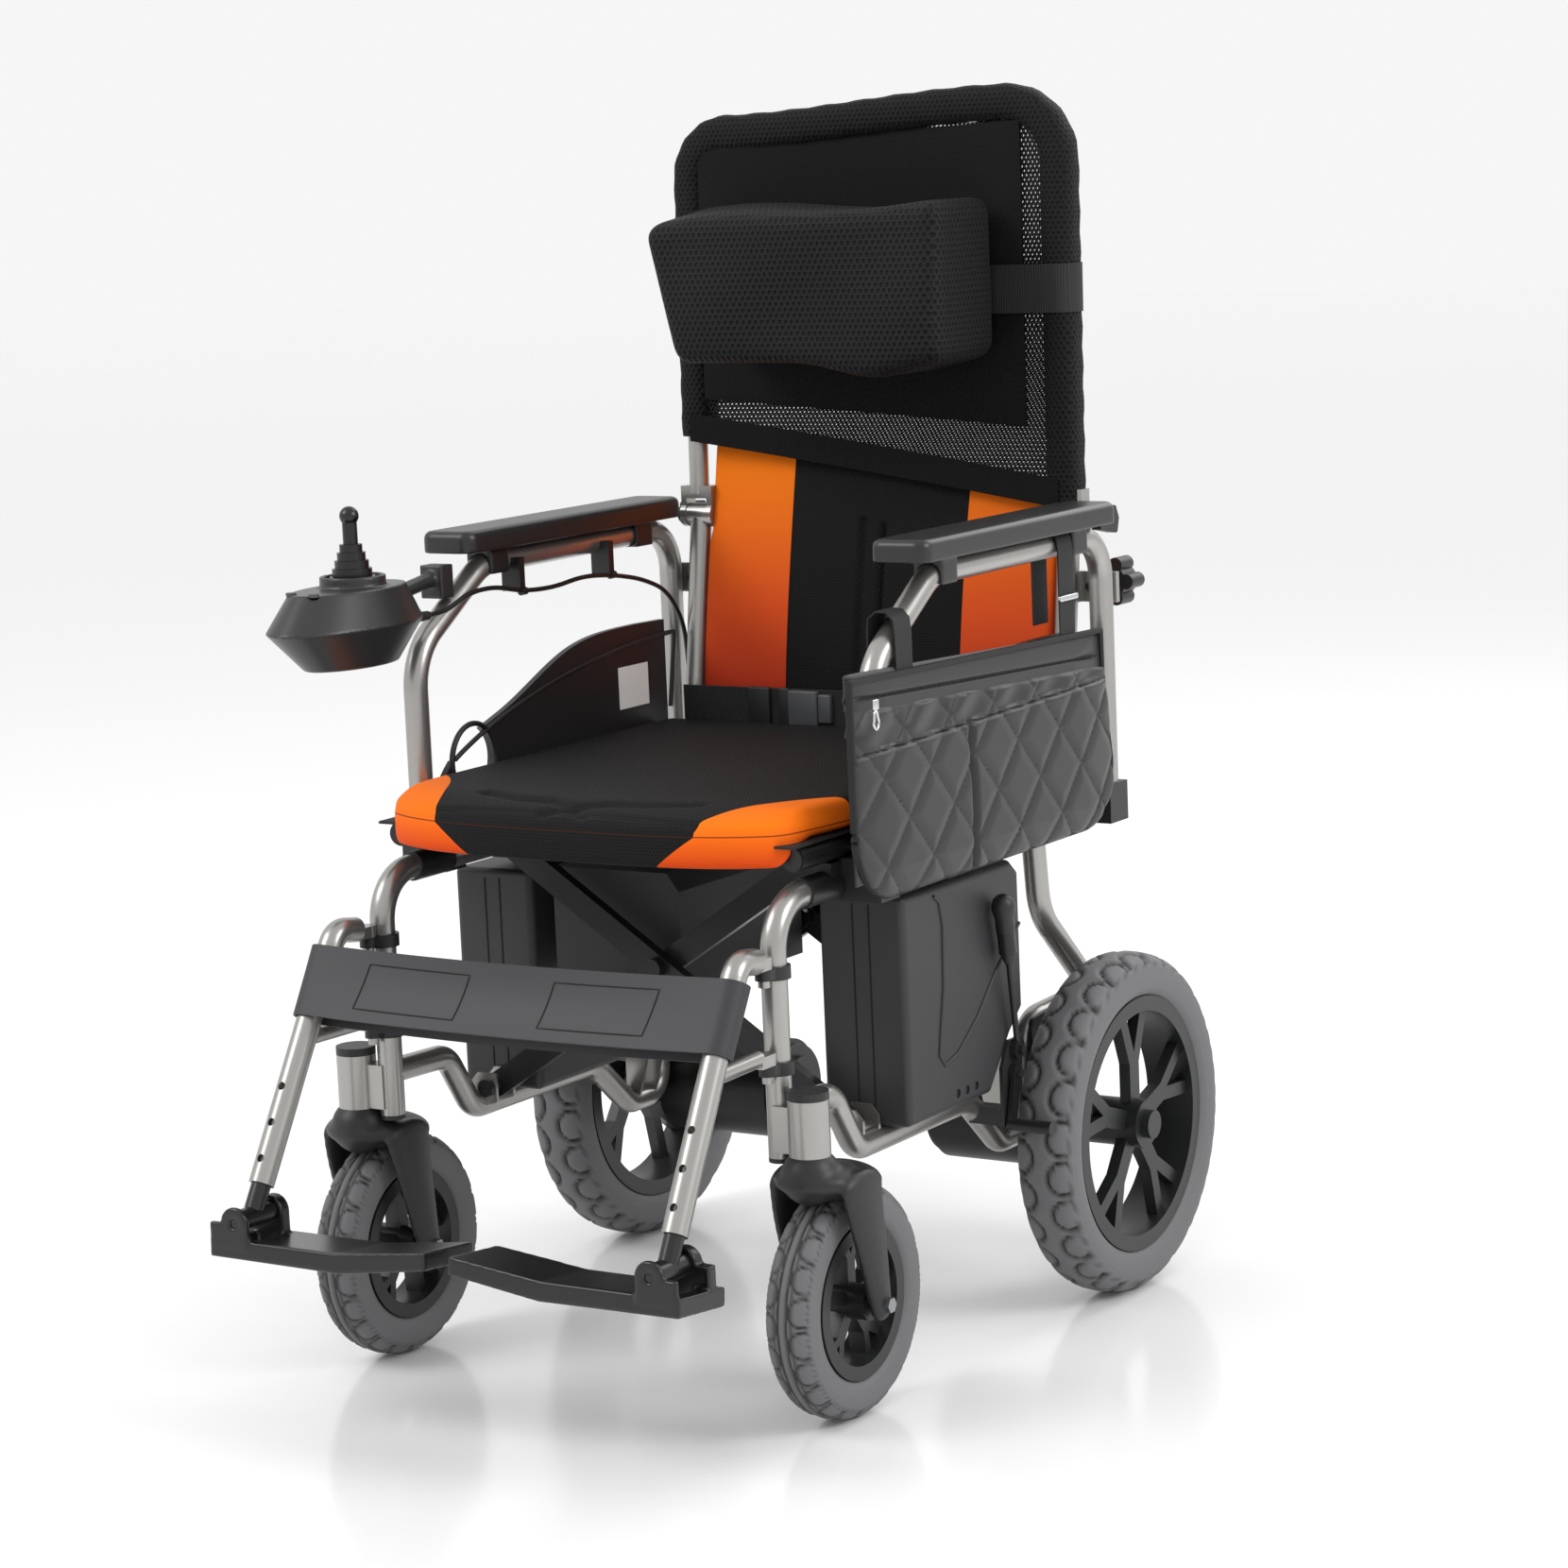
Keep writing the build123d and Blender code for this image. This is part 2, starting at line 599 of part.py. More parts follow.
save_pair("legrest_frame", legrest.part)

foot_end = leg_foot + leg_run * ((foot_pin.Z - leg_foot.Z) / leg_run.Z)
with BuildPart() as foot_tube:
    rod(tuple(leg_foot - leg_run * foot_tube_inside), tuple(foot_end), foot_tube_r)
    rod((foot_pin.X, -556, foot_pin.Z), (foot_pin.X, -515, foot_pin.Z), 10)
    rod((foot_pin.X, plate_front_y + 2, foot_pin.Z), (foot_pin.X, -500, foot_pin.Z), 4)
save_pair("foot_tube", foot_tube.part)

plate_out = Vector(0, math.cos(math.radians(plate_tilt)), -math.sin(math.radians(plate_tilt)))
with BuildPart() as footplate:
    with BuildSketch(Plane(origin=(0, plate_front_y, plate_low_z), x_dir=(-1, 0, 0),
                           z_dir=plate_out)) as tread:
        Polygon((-236, 0), (-100, -1), (-plate_inner_x, 11), (-plate_inner_x, 26), (-104, 16),
                (-236, 16), align=None)
    extrude(tread.sketch, amount=plate_depth)
    for cheek_low, cheek_high in ((plate_front_y, -556 - face_gap), (-515 + face_gap, -503)):
        rod((foot_pin.X, cheek_low, foot_pin.Z), (foot_pin.X, cheek_high, foot_pin.Z), 14)
        block((foot_pin.X - 14, cheek_low, plate_low_z + 8), (foot_pin.X + 26, cheek_high, foot_pin.Z))
    rod((foot_pin.X, plate_front_y - 1, foot_pin.Z), (foot_pin.X, -490, foot_pin.Z), 4 + pin_gap,
        Mode.SUBTRACT)
    block((foot_pin.X - 13, -556 - face_gap, plate_low_z - 8),
          (foot_pin.X + 13, -515 + face_gap, foot_pin.Z + 20), Mode.SUBTRACT)
save_pair("footplate", footplate.part)

# Calf strap round both leg tubes
strap_top = leg_top + leg_run * 17
strap_low = leg_top + leg_run * 80
with BuildPart() as calf_strap:
    strap_plane = Plane(origin=(0, strap_top.Y, strap_top.Z), x_dir=(1, 0, 0),
                        z_dir=(0, leg_run.Y, leg_run.Z))
    with BuildSketch(strap_plane) as band:
        loop_half = leg_top.X + 1 + tube_r + 0.8
        SlotOverall(2 * (loop_half + 2), 2 * (tube_r + 2.8))
        SlotOverall(2 * loop_half, 2 * (tube_r + 0.8), mode=Mode.SUBTRACT)
    extrude(band.sketch, amount=(strap_low - strap_top).length)
save("calf_strap", calf_strap.part)

# Upper back: posts on the hinge, clamp levers, mesh cover, head pillow and the back pad
post_r = 9.5
hinge_half = tube_r + face_gap + hinge_cheek
with BuildPart() as back_post:
    for cheek in (-hinge_half, hinge_half - hinge_cheek):
        rod((frame_x + cheek, back_hinge_y, back_hinge_z),
            (frame_x + cheek + hinge_cheek, back_hinge_y, back_hinge_z), tube_r + 1)
    block((frame_x - hinge_half, back_hinge_y - 8, back_hinge_z),
          (frame_x + hinge_half, back_hinge_y + 8, back_hinge_z + 28))
    block((frame_x - hinge_half + hinge_cheek, back_hinge_y - 9, back_hinge_z - 1),
          (frame_x + hinge_half - hinge_cheek, back_hinge_y + 9, back_hinge_z + 16), Mode.SUBTRACT)
    rod((frame_x - hinge_half, back_hinge_y, back_hinge_z), (frame_x + 20, back_hinge_y, back_hinge_z),
        hinge_pin_r)
    rod((post_x, post_y(back_hinge_z + 20), back_hinge_z + 20), (post_x, post_top_y, post_top_z),
        post_r)
save_pair("back_post", back_post.part)

lever_x = frame_x + 21.0
lever_y = 200.0
with BuildPart() as back_lever:
    rod((frame_x + hinge_half + face_gap, back_hinge_y, back_hinge_z),
        (lever_x + 1.5, back_hinge_y, back_hinge_z), 8)
    plate([(back_hinge_y + 6.5, 704), (back_hinge_y + 6.5, 692), (lever_y + 26, 686), (lever_y + 30, 700),
           (lever_y + 24, 712), (back_hinge_y + 6.5, 713)],
          side_plane(frame_x + hinge_half + 2), 9.5, 3)
    rod((frame_x + hinge_half, back_hinge_y, back_hinge_z), (frame_x + 20, back_hinge_y, back_hinge_z),
        hinge_pin_r + pin_gap, Mode.SUBTRACT)
save_pair("back_lever", back_lever.part)

hem_right_z = 756.0
hem_left_z = 736.0
with BuildPart() as cover:
    with BuildSketch(front_plane(0)) as face:
        Polygon((-cover_half, hem_left_z), (cover_half, hem_right_z), (cover_half, cover_top_z),
                (-cover_half, cover_top_z), align=None)
        fillet(face.vertices().group_by(Axis.Z)[-1], 55)
    extrude(face.sketch, amount=post_y(cover_top_z) + tube_r + cover_wall)
    block((-cover_half, -10, hem_left_z - 60), (cover_half, post_y(hem_left_z) - tube_r - cover_wall, cover_top_z),
          Mode.SUBTRACT)
    block((-cover_half + cover_wall, post_y(hem_left_z) - tube_r, hem_left_z - 60),
          (cover_half - cover_wall, post_y(cover_top_z) + tube_r, cover_top_z - cover_wall - 20),
          Mode.SUBTRACT)
save("back_mesh_cover", cover.part)

cover_face_y = post_y(hem_left_z) - tube_r - cover_wall
with BuildPart() as pillow:
    block((-174, 60, 842), (174, cover_face_y - 1.2, 996))
    fillet(pillow.edges().filter_by(Axis.X).group_by(Axis.Y)[0], 30)
    fillet(pillow.edges().filter_by(Axis.Z).group_by(Axis.Y)[0], 24)
save("headrest_pillow", pillow.part)

cover_back_y = post_y(cover_top_z) + tube_r + cover_wall
with BuildPart() as pillow_strap:
    block((-cover_half - 2, cover_face_y - 1, 891), (cover_half + 2, cover_back_y + 2, 935))
    block((-cover_half - 0.5, cover_face_y - face_gap / 2, 890), (cover_half + 0.5, cover_back_y + 0.5, 936),
          Mode.SUBTRACT)
save("headrest_strap", pillow_strap.part)

back_pad_low_z = 512.0
back_pad_high_z = 750.0
with BuildPart() as back_pad:
    with BuildSketch(side_plane(-pad_back_half)) as slab:
        Polygon((cane_y(back_pad_low_z) - 14, back_pad_low_z), (cane_y(back_pad_low_z) + 9, back_pad_low_z),
                (cane_y(back_hinge_z) + 9, back_hinge_z), (post_y(back_pad_high_z) + 9, back_pad_high_z),
                (cover_face_y + cover_wall + 2, back_pad_high_z), (cane_y(back_hinge_z) - 12, back_hinge_z),
                align=None)
    extrude(slab.sketch, amount=2 * pad_back_half)
    for post_side in (-1, 1):
        notch = sorted((post_side * (frame_x - hinge_half - 1), post_side * (pad_back_half + 1)))
        block((notch[0], 140, back_hinge_z - 16), (notch[1], 240, back_pad_high_z + 1), Mode.SUBTRACT)
save("back_pad", back_pad.part)

# Seat belt across the back of the cushion, with its buckle
belt_low_z = cushion_top_z + face_gap
belt_half = frame_x - 14.0
belt_y = 120.0
belt_width = 38.0
buckle_low_x = -83.0
buckle_high_x = -17.0
with BuildPart() as belt:
    block((-belt_half, belt_y, belt_low_z), (belt_half, belt_y + 2.5, belt_low_z + belt_width))
    block((buckle_low_x, belt_y - 10, belt_low_z), (buckle_high_x, belt_y, belt_low_z + belt_width + 2))
save("seat_belt", belt.part)

# Side bag on two straps over the left armrest, with its zip slider
with BuildPart() as bag:
    with BuildSketch(side_plane(bag_in_x)) as outline:
        Polygon((bag_front_y, bag_high_z - 6), (bag_front_y, bag_low_z), (bag_rear_y, bag_low_z),
                (bag_rear_y - 4, bag_high_z), align=None)
        fillet(outline.vertices().group_by(Axis.Z)[0], 22)
    extrude(outline.sketch, amount=bag_thick)
    for strap_y, strap_z in ((-200, 652), (88, arm_top_z)):
        block((arm_x + tube_r + face_gap, strap_y - 13, bag_high_z - 30),
              (bag_in_x + 2, strap_y + 13, strap_z + tube_r))
save("side_bag", bag.part)

zip_z = bag_high_z - 22
with BuildPart() as zip_slider:
    block((bag_in_x + bag_thick + face_gap, bag_front_y + 9, zip_z - 4),
          (bag_in_x + bag_thick + 3, bag_front_y + 17, zip_z + 4))
    block((bag_in_x + bag_thick + 1, bag_front_y + 10, zip_z - 26),
          (bag_in_x + bag_thick + 2.5, bag_front_y + 16, zip_z - 3))
save("zip_slider", zip_slider.part)

# Star knobs behind the armrests
with BuildPart() as star_knob:
    rod((knob_x, knob_plate_y - 2, knob_z), (knob_x, 232, knob_z), knob_stud_r)
    rod((knob_x, knob_plate_y + knob_plate + face_gap, knob_z), (knob_x, 234, knob_z), 9)
    with BuildSketch(Plane(origin=(knob_x, 232, knob_z), x_dir=(1, 0, 0), z_dir=(0, 1, 0))) as star:
        Circle(15)
        with PolarLocations(16, 5):
            Circle(7)
    extrude(star.sketch, amount=24)
    with Locations((knob_x, 256, knob_z)):
        Cylinder(12, 6, rotation=(-90, 0, 0), align=(Align.CENTER, Align.CENTER, Align.MIN))
save_pair("star_knob", star_knob.part)

# Wheel lock: lever with its grip, and the link with the bar that meets the tyre
lever_top = Vector(brake_x + 6.5, -44, 388)
lever_foot = Vector(brake_x + 1.5, brake_pivot_y, brake_pivot_z)
lever_run = (lever_top - lever_foot).normalized()
with BuildPart() as brake_lever:
    rod((brake_x - 1.3, brake_pivot_y, brake_pivot_z), (brake_x + 4, brake_pivot_y, brake_pivot_z), 9)
    rod(tuple(lever_foot + lever_run * 4), tuple(lever_top - lever_run * 40), 2.8)
    rod(tuple(lever_top - lever_run * 46), tuple(lever_top), 8)
    with Locations(tuple(lever_top)):
        Sphere(9.5)
    rod((brake_x - 5, brake_pivot_y, brake_pivot_z), (brake_x + 9, brake_pivot_y, brake_pivot_z),
        4 + pin_gap, Mode.SUBTRACT)
save_pair("brake_lever", brake_lever.part)

with BuildPart() as brake_link:
    rod((brake_x - 1.3, link_pivot_y, link_pivot_z), (brake_x + 4, link_pivot_y, link_pivot_z), 8)
    plate([(link_pivot_y - 7, link_pivot_z), (brake_bar_y - 6, brake_bar_z - 4), (brake_bar_y + 5, brake_bar_z - 4),
           (link_pivot_y + 6, link_pivot_z)], side_plane(brake_x), 4)
    rod((brake_x, brake_bar_y, brake_bar_z), (wheel_x + 20, brake_bar_y, brake_bar_z), 6)
    rod((brake_x - 5, link_pivot_y, link_pivot_z), (brake_x + 9, link_pivot_y, link_pivot_z),
        4 + pin_gap, Mode.SUBTRACT)
save_pair("brake_link", brake_link.part)

# Joystick: housing, stick on a gimbal ring, two buttons
button_places = ((pod_x - 16, pod_y - 52), (pod_x + 12, pod_y - 56))
with BuildPart() as pod:
    for low_z, high_z, shrink in ((pod_mid_z, pod_low_z, 0.60), (pod_mid_z, pod_high_z, 0.74)):
        with BuildSketch(Plane.XY.offset(low_z)) as widest:
            with Locations((pod_x, pod_y)):
                Ellipse(pod_width / 2, pod_length / 2)
        with BuildSketch(Plane.XY.offset(high_z)) as narrow:
            with Locations((pod_x, pod_y + 6)):
                Ellipse(shrink * pod_width / 2, shrink * pod_length / 2)
        loft([widest.sketch, narrow.sketch])
    rod((pod_x, stick_y, pod_mid_z), (pod_x, stick_y, pod_high_z + 10), boot_hole_r + 4)
    rod((pod_x, stick_y, stick_pivot_z - 14), (pod_x, stick_y, pod_high_z + 12), boot_hole_r,
        Mode.SUBTRACT)
    rod((pod_x - boot_hole_r - 2.5, stick_y, stick_pivot_z), (pod_x + boot_hole_r + 2.5, stick_y, stick_pivot_z),
        2 + pin_gap, Mode.SUBTRACT)
    for place_x, place_y in button_places:
        rod((place_x, place_y, pod_high_z - 3), (place_x, place_y, pod_high_z + 1), button_r + face_gap,
            Mode.SUBTRACT)
    rod((pod_x, pod_y + 60, 672), (pod_x, arm_front_post_y + 46, 684), 7)
    block((pod_x - 12, arm_front_post_y + 32, 664), (pod_x + 12, arm_front_post_y + 50, 694))
    rod((lead_x, pod_y + 60, lead_exit_z), (lead_x, lead_exit_y, lead_exit_z), 4.5)
    right_armrest = mirror(armrest.part, about=Plane.YZ, mode=Mode.PRIVATE)
    right_armpad = mirror(armpad.part, about=Plane.YZ, mode=Mode.PRIVATE)
    add(right_armrest, mode=Mode.SUBTRACT)
    add(right_armpad, mode=Mode.SUBTRACT)
save("joystick_housing", pod.part)

with BuildPart() as gimbal:
    rod((pod_x, stick_y, stick_pivot_z - 3), (pod_x, stick_y, stick_pivot_z + 3), 18)
    rod((pod_x - boot_hole_r - 2, stick_y, stick_pivot_z), (pod_x + boot_hole_r + 2, stick_y, stick_pivot_z), 2)
    rod((pod_x, stick_y, stick_pivot_z - 4), (pod_x, stick_y, stick_pivot_z + 4), 12, Mode.SUBTRACT)
    rod((pod_x, stick_y - 15, stick_pivot_z), (pod_x, stick_y + 15, stick_pivot_z), 2 + pin_gap,
        Mode.SUBTRACT)
save("joystick_gimbal", gimbal.part)

with BuildPart() as stick:
    with Locations((pod_x, stick_y, stick_pivot_z)):
        Sphere(8)
    rod((pod_x, stick_y - 14.5, stick_pivot_z), (pod_x, stick_y + 14.5, stick_pivot_z), 2)
    rod((pod_x, stick_y, stick_pivot_z), (pod_x, stick_y, 732), 5)
    boot_steps = ((690, 20), (697, 17.5), (704, 15), (711, 12.5), (718, 10))
    for ring_z, ring_r in boot_steps:
        rod((pod_x, stick_y, ring_z), (pod_x, stick_y, ring_z + 7), ring_r)
    rod((pod_x, stick_y, 725), (pod_x, stick_y, stick_top_z - 9), 6.5)
    with Locations((pod_x, stick_y, stick_top_z - 8.5)):
        Sphere(8.5)
save("joystick_stick", stick.part)

for button_name, (place_x, place_y) in zip(("power_button", "horn_button"), button_places):
    with BuildPart() as button:
        rod((place_x, place_y, pod_high_z - 1.2), (place_x, place_y, pod_high_z + 1.6), button_r)
    save(button_name, button.part)

# Joystick lead: clipped inside the right armrest down to an inline plug, then to the controller
plug_y = 173.0
plug_z = 484.0
plug_r = 4.0
clip_places = ((-94, 659), (50, 658))


def lead(points):
    """Adds a lead whose arcs are as large as its runs allow to the part being built."""
    bends = []
    for before, corner, after in zip(points, points[1:], points[2:]):
        first = Vector(*corner) - Vector(*before)
        second = Vector(*after) - Vector(*corner)
        turn = math.radians(first.get_angle(second))
        bends.append(0.45 * min(first.length, second.length) / math.tan(turn / 2))
    print("arc radii", [round(bend) for bend in bends])
    bent_rod(points, bends, lead_r)


with BuildPart() as joystick_lead:
    lead([(lead_x, lead_exit_y, lead_exit_z), (lead_x, -212, 655), (lead_x, -176, 667),
          (lead_x, -138, 668), (lead_x, -94, 659), (lead_x, -46, 657), (lead_x, 2, 662),
          (lead_x, 50, 658), (lead_x, 98, 649), (lead_x, 140, 634), (lead_x, 168, 600),
          (lead_x, plug_y + 1, 552), (lead_x, plug_y, plug_z + 12)])
    rod((lead_x, plug_y, plug_z), (lead_x, plug_y, plug_z + 12), plug_r)
    for clip_y, clip_z in clip_places:
        rod((lead_x, clip_y - 4, clip_z), (lead_x, clip_y + 4, clip_z), lead_r + 1.4)
        block((-arm_x, clip_y - 4, clip_z), (lead_x, clip_y + 4, arm_top_z))
    add(right_armrest, mode=Mode.SUBTRACT)
save("joystick_lead", joystick_lead.part)

with BuildPart() as controller_lead:
    lead([(lead_x, plug_y, plug_z - 12), (lead_x, plug_y + 1, 444), (lead_x + 2, plug_y - 10, 416),
          (-194, 140, 403), (-170, 104, 397), (-142, 70, 394), (box_low_x + 12, 40, 391),
          (box_low_x + 12, 10, 391)])
    rod((lead_x, plug_y, plug_z - 12), (lead_x, plug_y, plug_z - 0.2), plug_r)
save("controller_lead", controller_lead.part)
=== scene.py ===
import math
import bmesh
import bpy
import numpy as np
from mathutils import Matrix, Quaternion, Vector


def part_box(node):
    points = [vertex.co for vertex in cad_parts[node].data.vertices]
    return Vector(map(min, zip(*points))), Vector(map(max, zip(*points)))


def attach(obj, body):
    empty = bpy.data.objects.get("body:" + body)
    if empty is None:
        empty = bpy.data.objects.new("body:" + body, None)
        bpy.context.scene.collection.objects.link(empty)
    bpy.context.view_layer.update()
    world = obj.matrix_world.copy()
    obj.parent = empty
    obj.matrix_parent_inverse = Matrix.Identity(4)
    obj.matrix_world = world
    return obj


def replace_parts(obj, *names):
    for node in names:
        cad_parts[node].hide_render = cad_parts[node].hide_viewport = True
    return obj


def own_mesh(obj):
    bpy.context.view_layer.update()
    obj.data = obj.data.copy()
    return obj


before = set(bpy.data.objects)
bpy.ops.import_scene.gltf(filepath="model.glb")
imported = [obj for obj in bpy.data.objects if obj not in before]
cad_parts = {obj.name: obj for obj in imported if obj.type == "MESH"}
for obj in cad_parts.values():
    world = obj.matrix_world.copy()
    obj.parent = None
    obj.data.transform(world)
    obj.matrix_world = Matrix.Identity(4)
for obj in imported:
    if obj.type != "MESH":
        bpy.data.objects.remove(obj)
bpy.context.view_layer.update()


# Studio. A pale floor under a white surround, lit by large soft panels so that the black
# plastics keep a soft sheen. The lens is long and the camera looks down a little.
def linear(code):
    """A hex colour in sRGB as the linear colour that sockets take."""
    values = [int(code[i : i + 2], 16) / 255 for i in (1, 3, 5)]
    return [v / 12.92 if v <= 0.04045 else ((v + 0.055) / 1.055) ** 2.4 for v in values] + [1.0]


def add(tree, kind, props=None, **inputs):
    """Adds one shader node. Inputs are values or sockets, and a digit names a socket by place."""
    node = tree.nodes.new("ShaderNode" + kind)
    for name, value in (props or {}).items():
        setattr(node, name, value)
    for name, value in inputs.items():
        name = name.strip("_")
        socket = node.inputs[int(name)] if name.isdigit() else node.inputs[name.replace("_", " ")]
        if isinstance(value, bpy.types.NodeSocket):
            tree.links.new(value, socket)
        else:
            socket.default_value = value
    return node


def material(name, colour, roughness, metallic=0.0):
    """A principled material with uniform values, and its tree and shader node."""
    made = bpy.data.materials.new(name)
    made.use_nodes = True
    shader = made.node_tree.nodes["Principled BSDF"]
    shader.inputs["Base Color"].default_value = linear(colour)
    shader.inputs["Roughness"].default_value = roughness
    shader.inputs["Metallic"].default_value = metallic
    return made, made.node_tree, shader


camera_data = bpy.data.cameras.new("camera")
camera_data.lens = 95.67
camera_data.sensor_width = 36.0
camera = bpy.data.objects.new("camera", camera_data)
bpy.context.scene.collection.objects.link(camera)
towards_camera = Vector((0.52878, -0.83474, 0.15357))
camera.rotation_mode = "QUATERNION"
camera.rotation_quaternion = towards_camera.to_track_quat("Z", "Y") @ Quaternion((0, 0, 1), -0.042579)
camera.location = Vector((0.0, 0.1358, 0.4765)) + towards_camera * 3.79515
bpy.context.scene.camera = camera
bpy.context.scene.view_settings.view_transform = "Standard"

bpy.ops.mesh.primitive_plane_add(size=40.0, location=(0.0, 0.0, 0.0))
floor = bpy.context.object
floor.name = "floor"
# Floor: smooth white sheet with a soft wet-looking sheen.
floor_paint, _, floor_shader = material("floor_sheet", "#F4F4F4", 0.16)
floor_shader.inputs["Specular IOR Level"].default_value = 0.35
floor.data.materials.append(floor_paint)

world = bpy.data.worlds.new("studio_white")
world.use_nodes = True
world.node_tree.nodes["Background"].inputs["Color"].default_value = linear("#FFFFFF")
world.node_tree.nodes["Background"].inputs["Strength"].default_value = 0.92
bpy.context.scene.world = world
lights = (("key_panel", (-2.2, -2.6, 3.4), 2.0, 75), ("side_panel", (3.4, 0.4, 2.4), 1.6, 60),
          ("rear_panel", (0.6, 3.2, 2.8), 2.4, 40))
for name, place, size, power in lights:
    panel = bpy.data.lights.new(name, "AREA")
    panel.size = size
    panel.energy = power
    lamp = bpy.data.objects.new(name, panel)
    lamp.location = place
    aim = Vector((0.0, 0.1, 0.5)) - Vector(place)
    lamp.rotation_euler = aim.to_track_quat("-Z", "Y").to_euler()
    bpy.context.scene.collection.objects.link(lamp)


# Tubing. Round steel tube with a silver-grey powder coat: both side frames, the armrest
# loops, the back posts and the legrests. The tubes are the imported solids, with this coat on.
def grain(tree, shader, size, depth, detail=2.0):
    """Fine bumps of the given size and depth, in metres, over the piece's own space."""
    space = add(tree, "TexCoord")
    noise = add(tree, "TexNoise", Vector=space.outputs["Object"], Scale=1.0 / size, Detail=detail)
    bump = add(tree, "Bump", Height=noise.outputs[0], Distance=depth, Strength=1.0)
    tree.links.new(bump.outputs[0], shader.inputs["Normal"])
    return noise


def paint(coat, *names):
    """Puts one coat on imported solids."""
    for name in names:
        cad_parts[name].data.materials.clear()
        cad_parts[name].data.materials.append(coat)


def both(name):
    """A left node and its right twin."""
    return "left_" + name, "right_" + name


# Silver coat: grey and satin, with long soft highlights and a very fine sparkle.
silver, tree, shader = material("silver_satin_coat", "#A6A4A1", 0.30, 0.85)
grain(tree, shader, 0.0007, 0.00001)
paint(silver, *both("frame"), *both("armrest_frame"), *both("back_post"), *both("legrest_frame"))

# Black plastic: charcoal, satin, with the faint pebble of a moulded part.
black_plastic, tree, shader = material("black_moulded_plastic", "#1B1B1C", 0.46)
grain(tree, shader, 0.0011, 0.00003)
# Dark coat: nearly black, smooth paint on steel bars, with a tight highlight.
dark_coat, tree, shader = material("dark_steel_coat", "#232325", 0.34, 0.35)
grain(tree, shader, 0.0016, 0.00001)
# Gloss black: the smoother coat of the foot tubes and footplates.
gloss_plastic, tree, shader = material("gloss_black_plastic", "#121213", 0.28)
paint(black_plastic, *both("frame_fittings"), *both("back_lever"), *both("star_knob"))
paint(gloss_plastic, *both("foot_tube"))
paint(dark_coat, *both("brake_link"), "cross_arm_a", "cross_arm_b")


# Wheels. Puncture-proof grey rubber tyres on black plastic rims with split spokes. The tread is
# cut into a ring: scalloped side blocks about a wavy middle band, and fine shoulder ridges.
def finish_mesh(piece, name, coats, angle=0.7):
    """Names the piece, sets its place into its vertices and gives it its coats."""
    bpy.ops.object.select_all(action="DESELECT")
    piece.select_set(True)
    bpy.context.view_layer.objects.active = piece
    bpy.ops.object.transform_apply(location=True, rotation=True, scale=True)
    bpy.ops.object.shade_smooth_by_angle(angle=angle)
    piece.name = name
    piece.data.name = name
    piece.data.materials.clear()
    for coat in coats:
        piece.data.materials.append(coat)
    return piece


def read_points(piece):
    """The piece's vertices as an array."""
    flat = np.empty(len(piece.data.vertices) * 3)
    piece.data.vertices.foreach_get("co", flat)
    return flat.reshape(-1, 3)


def write_points(piece, points):
    """Puts an array back into the piece's vertices."""
    piece.data.vertices.foreach_set("co", points.ravel())
    piece.data.update()


def face_outward():
    """Turns every face of the active piece outward."""
    bpy.ops.object.mode_set(mode="EDIT")
    bpy.ops.mesh.select_all(action="SELECT")
    bpy.ops.mesh.normals_make_consistent(inside=False)
    bpy.ops.object.mode_set(mode="OBJECT")


def tyre(node, body, coat, bead, blocks, rings, depth, ridges):
    """A ring of rubber over a packed tyre, with its tread pressed in."""
    low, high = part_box(node)
    centre = (low + high) / 2
    outer = (high.z - low.z) / 2
    half = (high.x - low.x) / 2
    middle = (outer + bead) / 2
    turns, around = 720, 72
    bpy.ops.mesh.primitive_torus_add(major_segments=turns, minor_segments=around,
                                     major_radius=middle, minor_radius=outer - middle)
    piece = bpy.context.object
    p = read_points(piece)
    angle = np.arctan2(p[:, 1], p[:, 0])
    out = np.hypot(p[:, 0], p[:, 1]) - middle
    phi = np.arctan2(p[:, 2], out)
    soft = (np.abs(np.cos(phi)) ** 2.5 + np.abs(np.sin(phi)) ** 2.5) ** (-1 / 2.5)
    radial = (outer - middle) * np.cos(phi) * soft
    across = half * np.sin(phi) * soft
    width = np.abs(across) / half
    tread = (radial > 0) & (width < 0.98)
    side = np.where(across > 0, 0.0, 0.5)
    u = (angle * blocks / (2 * math.pi) + side) % 1.0
    scallop = np.sqrt(((u - 0.5) / 0.43) ** 2 + ((width - 0.86) / 0.62) ** 2)
    cut = np.exp(-(((scallop - 1.0) / 0.105) ** 2)) * (width < 0.88)
    for ring in rings:
        cut = np.maximum(cut, np.exp(-(((np.abs(across) - ring) / 0.0011) ** 2)))
    ridge = 0.5 + 0.5 * np.sign(np.sin(angle * blocks * ridges + across * 900))
    shoulder = np.exp(-(((width - 0.90) / 0.045) ** 2)) * ridge
    bead_line = np.exp(-((radial / (outer - middle)) ** 2) / 0.002)
    lines = np.exp(-(((width - 0.985) / 0.012) ** 2)) + bead_line
    sink = tread * (depth * cut + 0.0007 * shoulder) + 0.0005 * np.clip(lines, 0, 1)
    reach = middle + radial - sink * np.cos(phi)
    across = across - sink * np.sin(phi) * (width > 0.5)
    # The groove mask also sets where painted shade darkens the grooves and shoulder ridges.
    mark = piece.data.attributes.new("groove", "FLOAT", "POINT")
    mark.data.foreach_set("value", np.clip(tread * (cut + 0.45 * shoulder), 0, 1).astype(np.float32))
    write_points(piece, np.stack([centre.x + across, centre.y + reach * np.cos(angle),
                                  centre.z + reach * np.sin(angle)], axis=1))
    face_outward()
    piece.location = (0, 0, 0)
    finish_mesh(piece, node + ".tread", [coat], 1.2)
    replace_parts(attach(piece, body), node)
    return piece
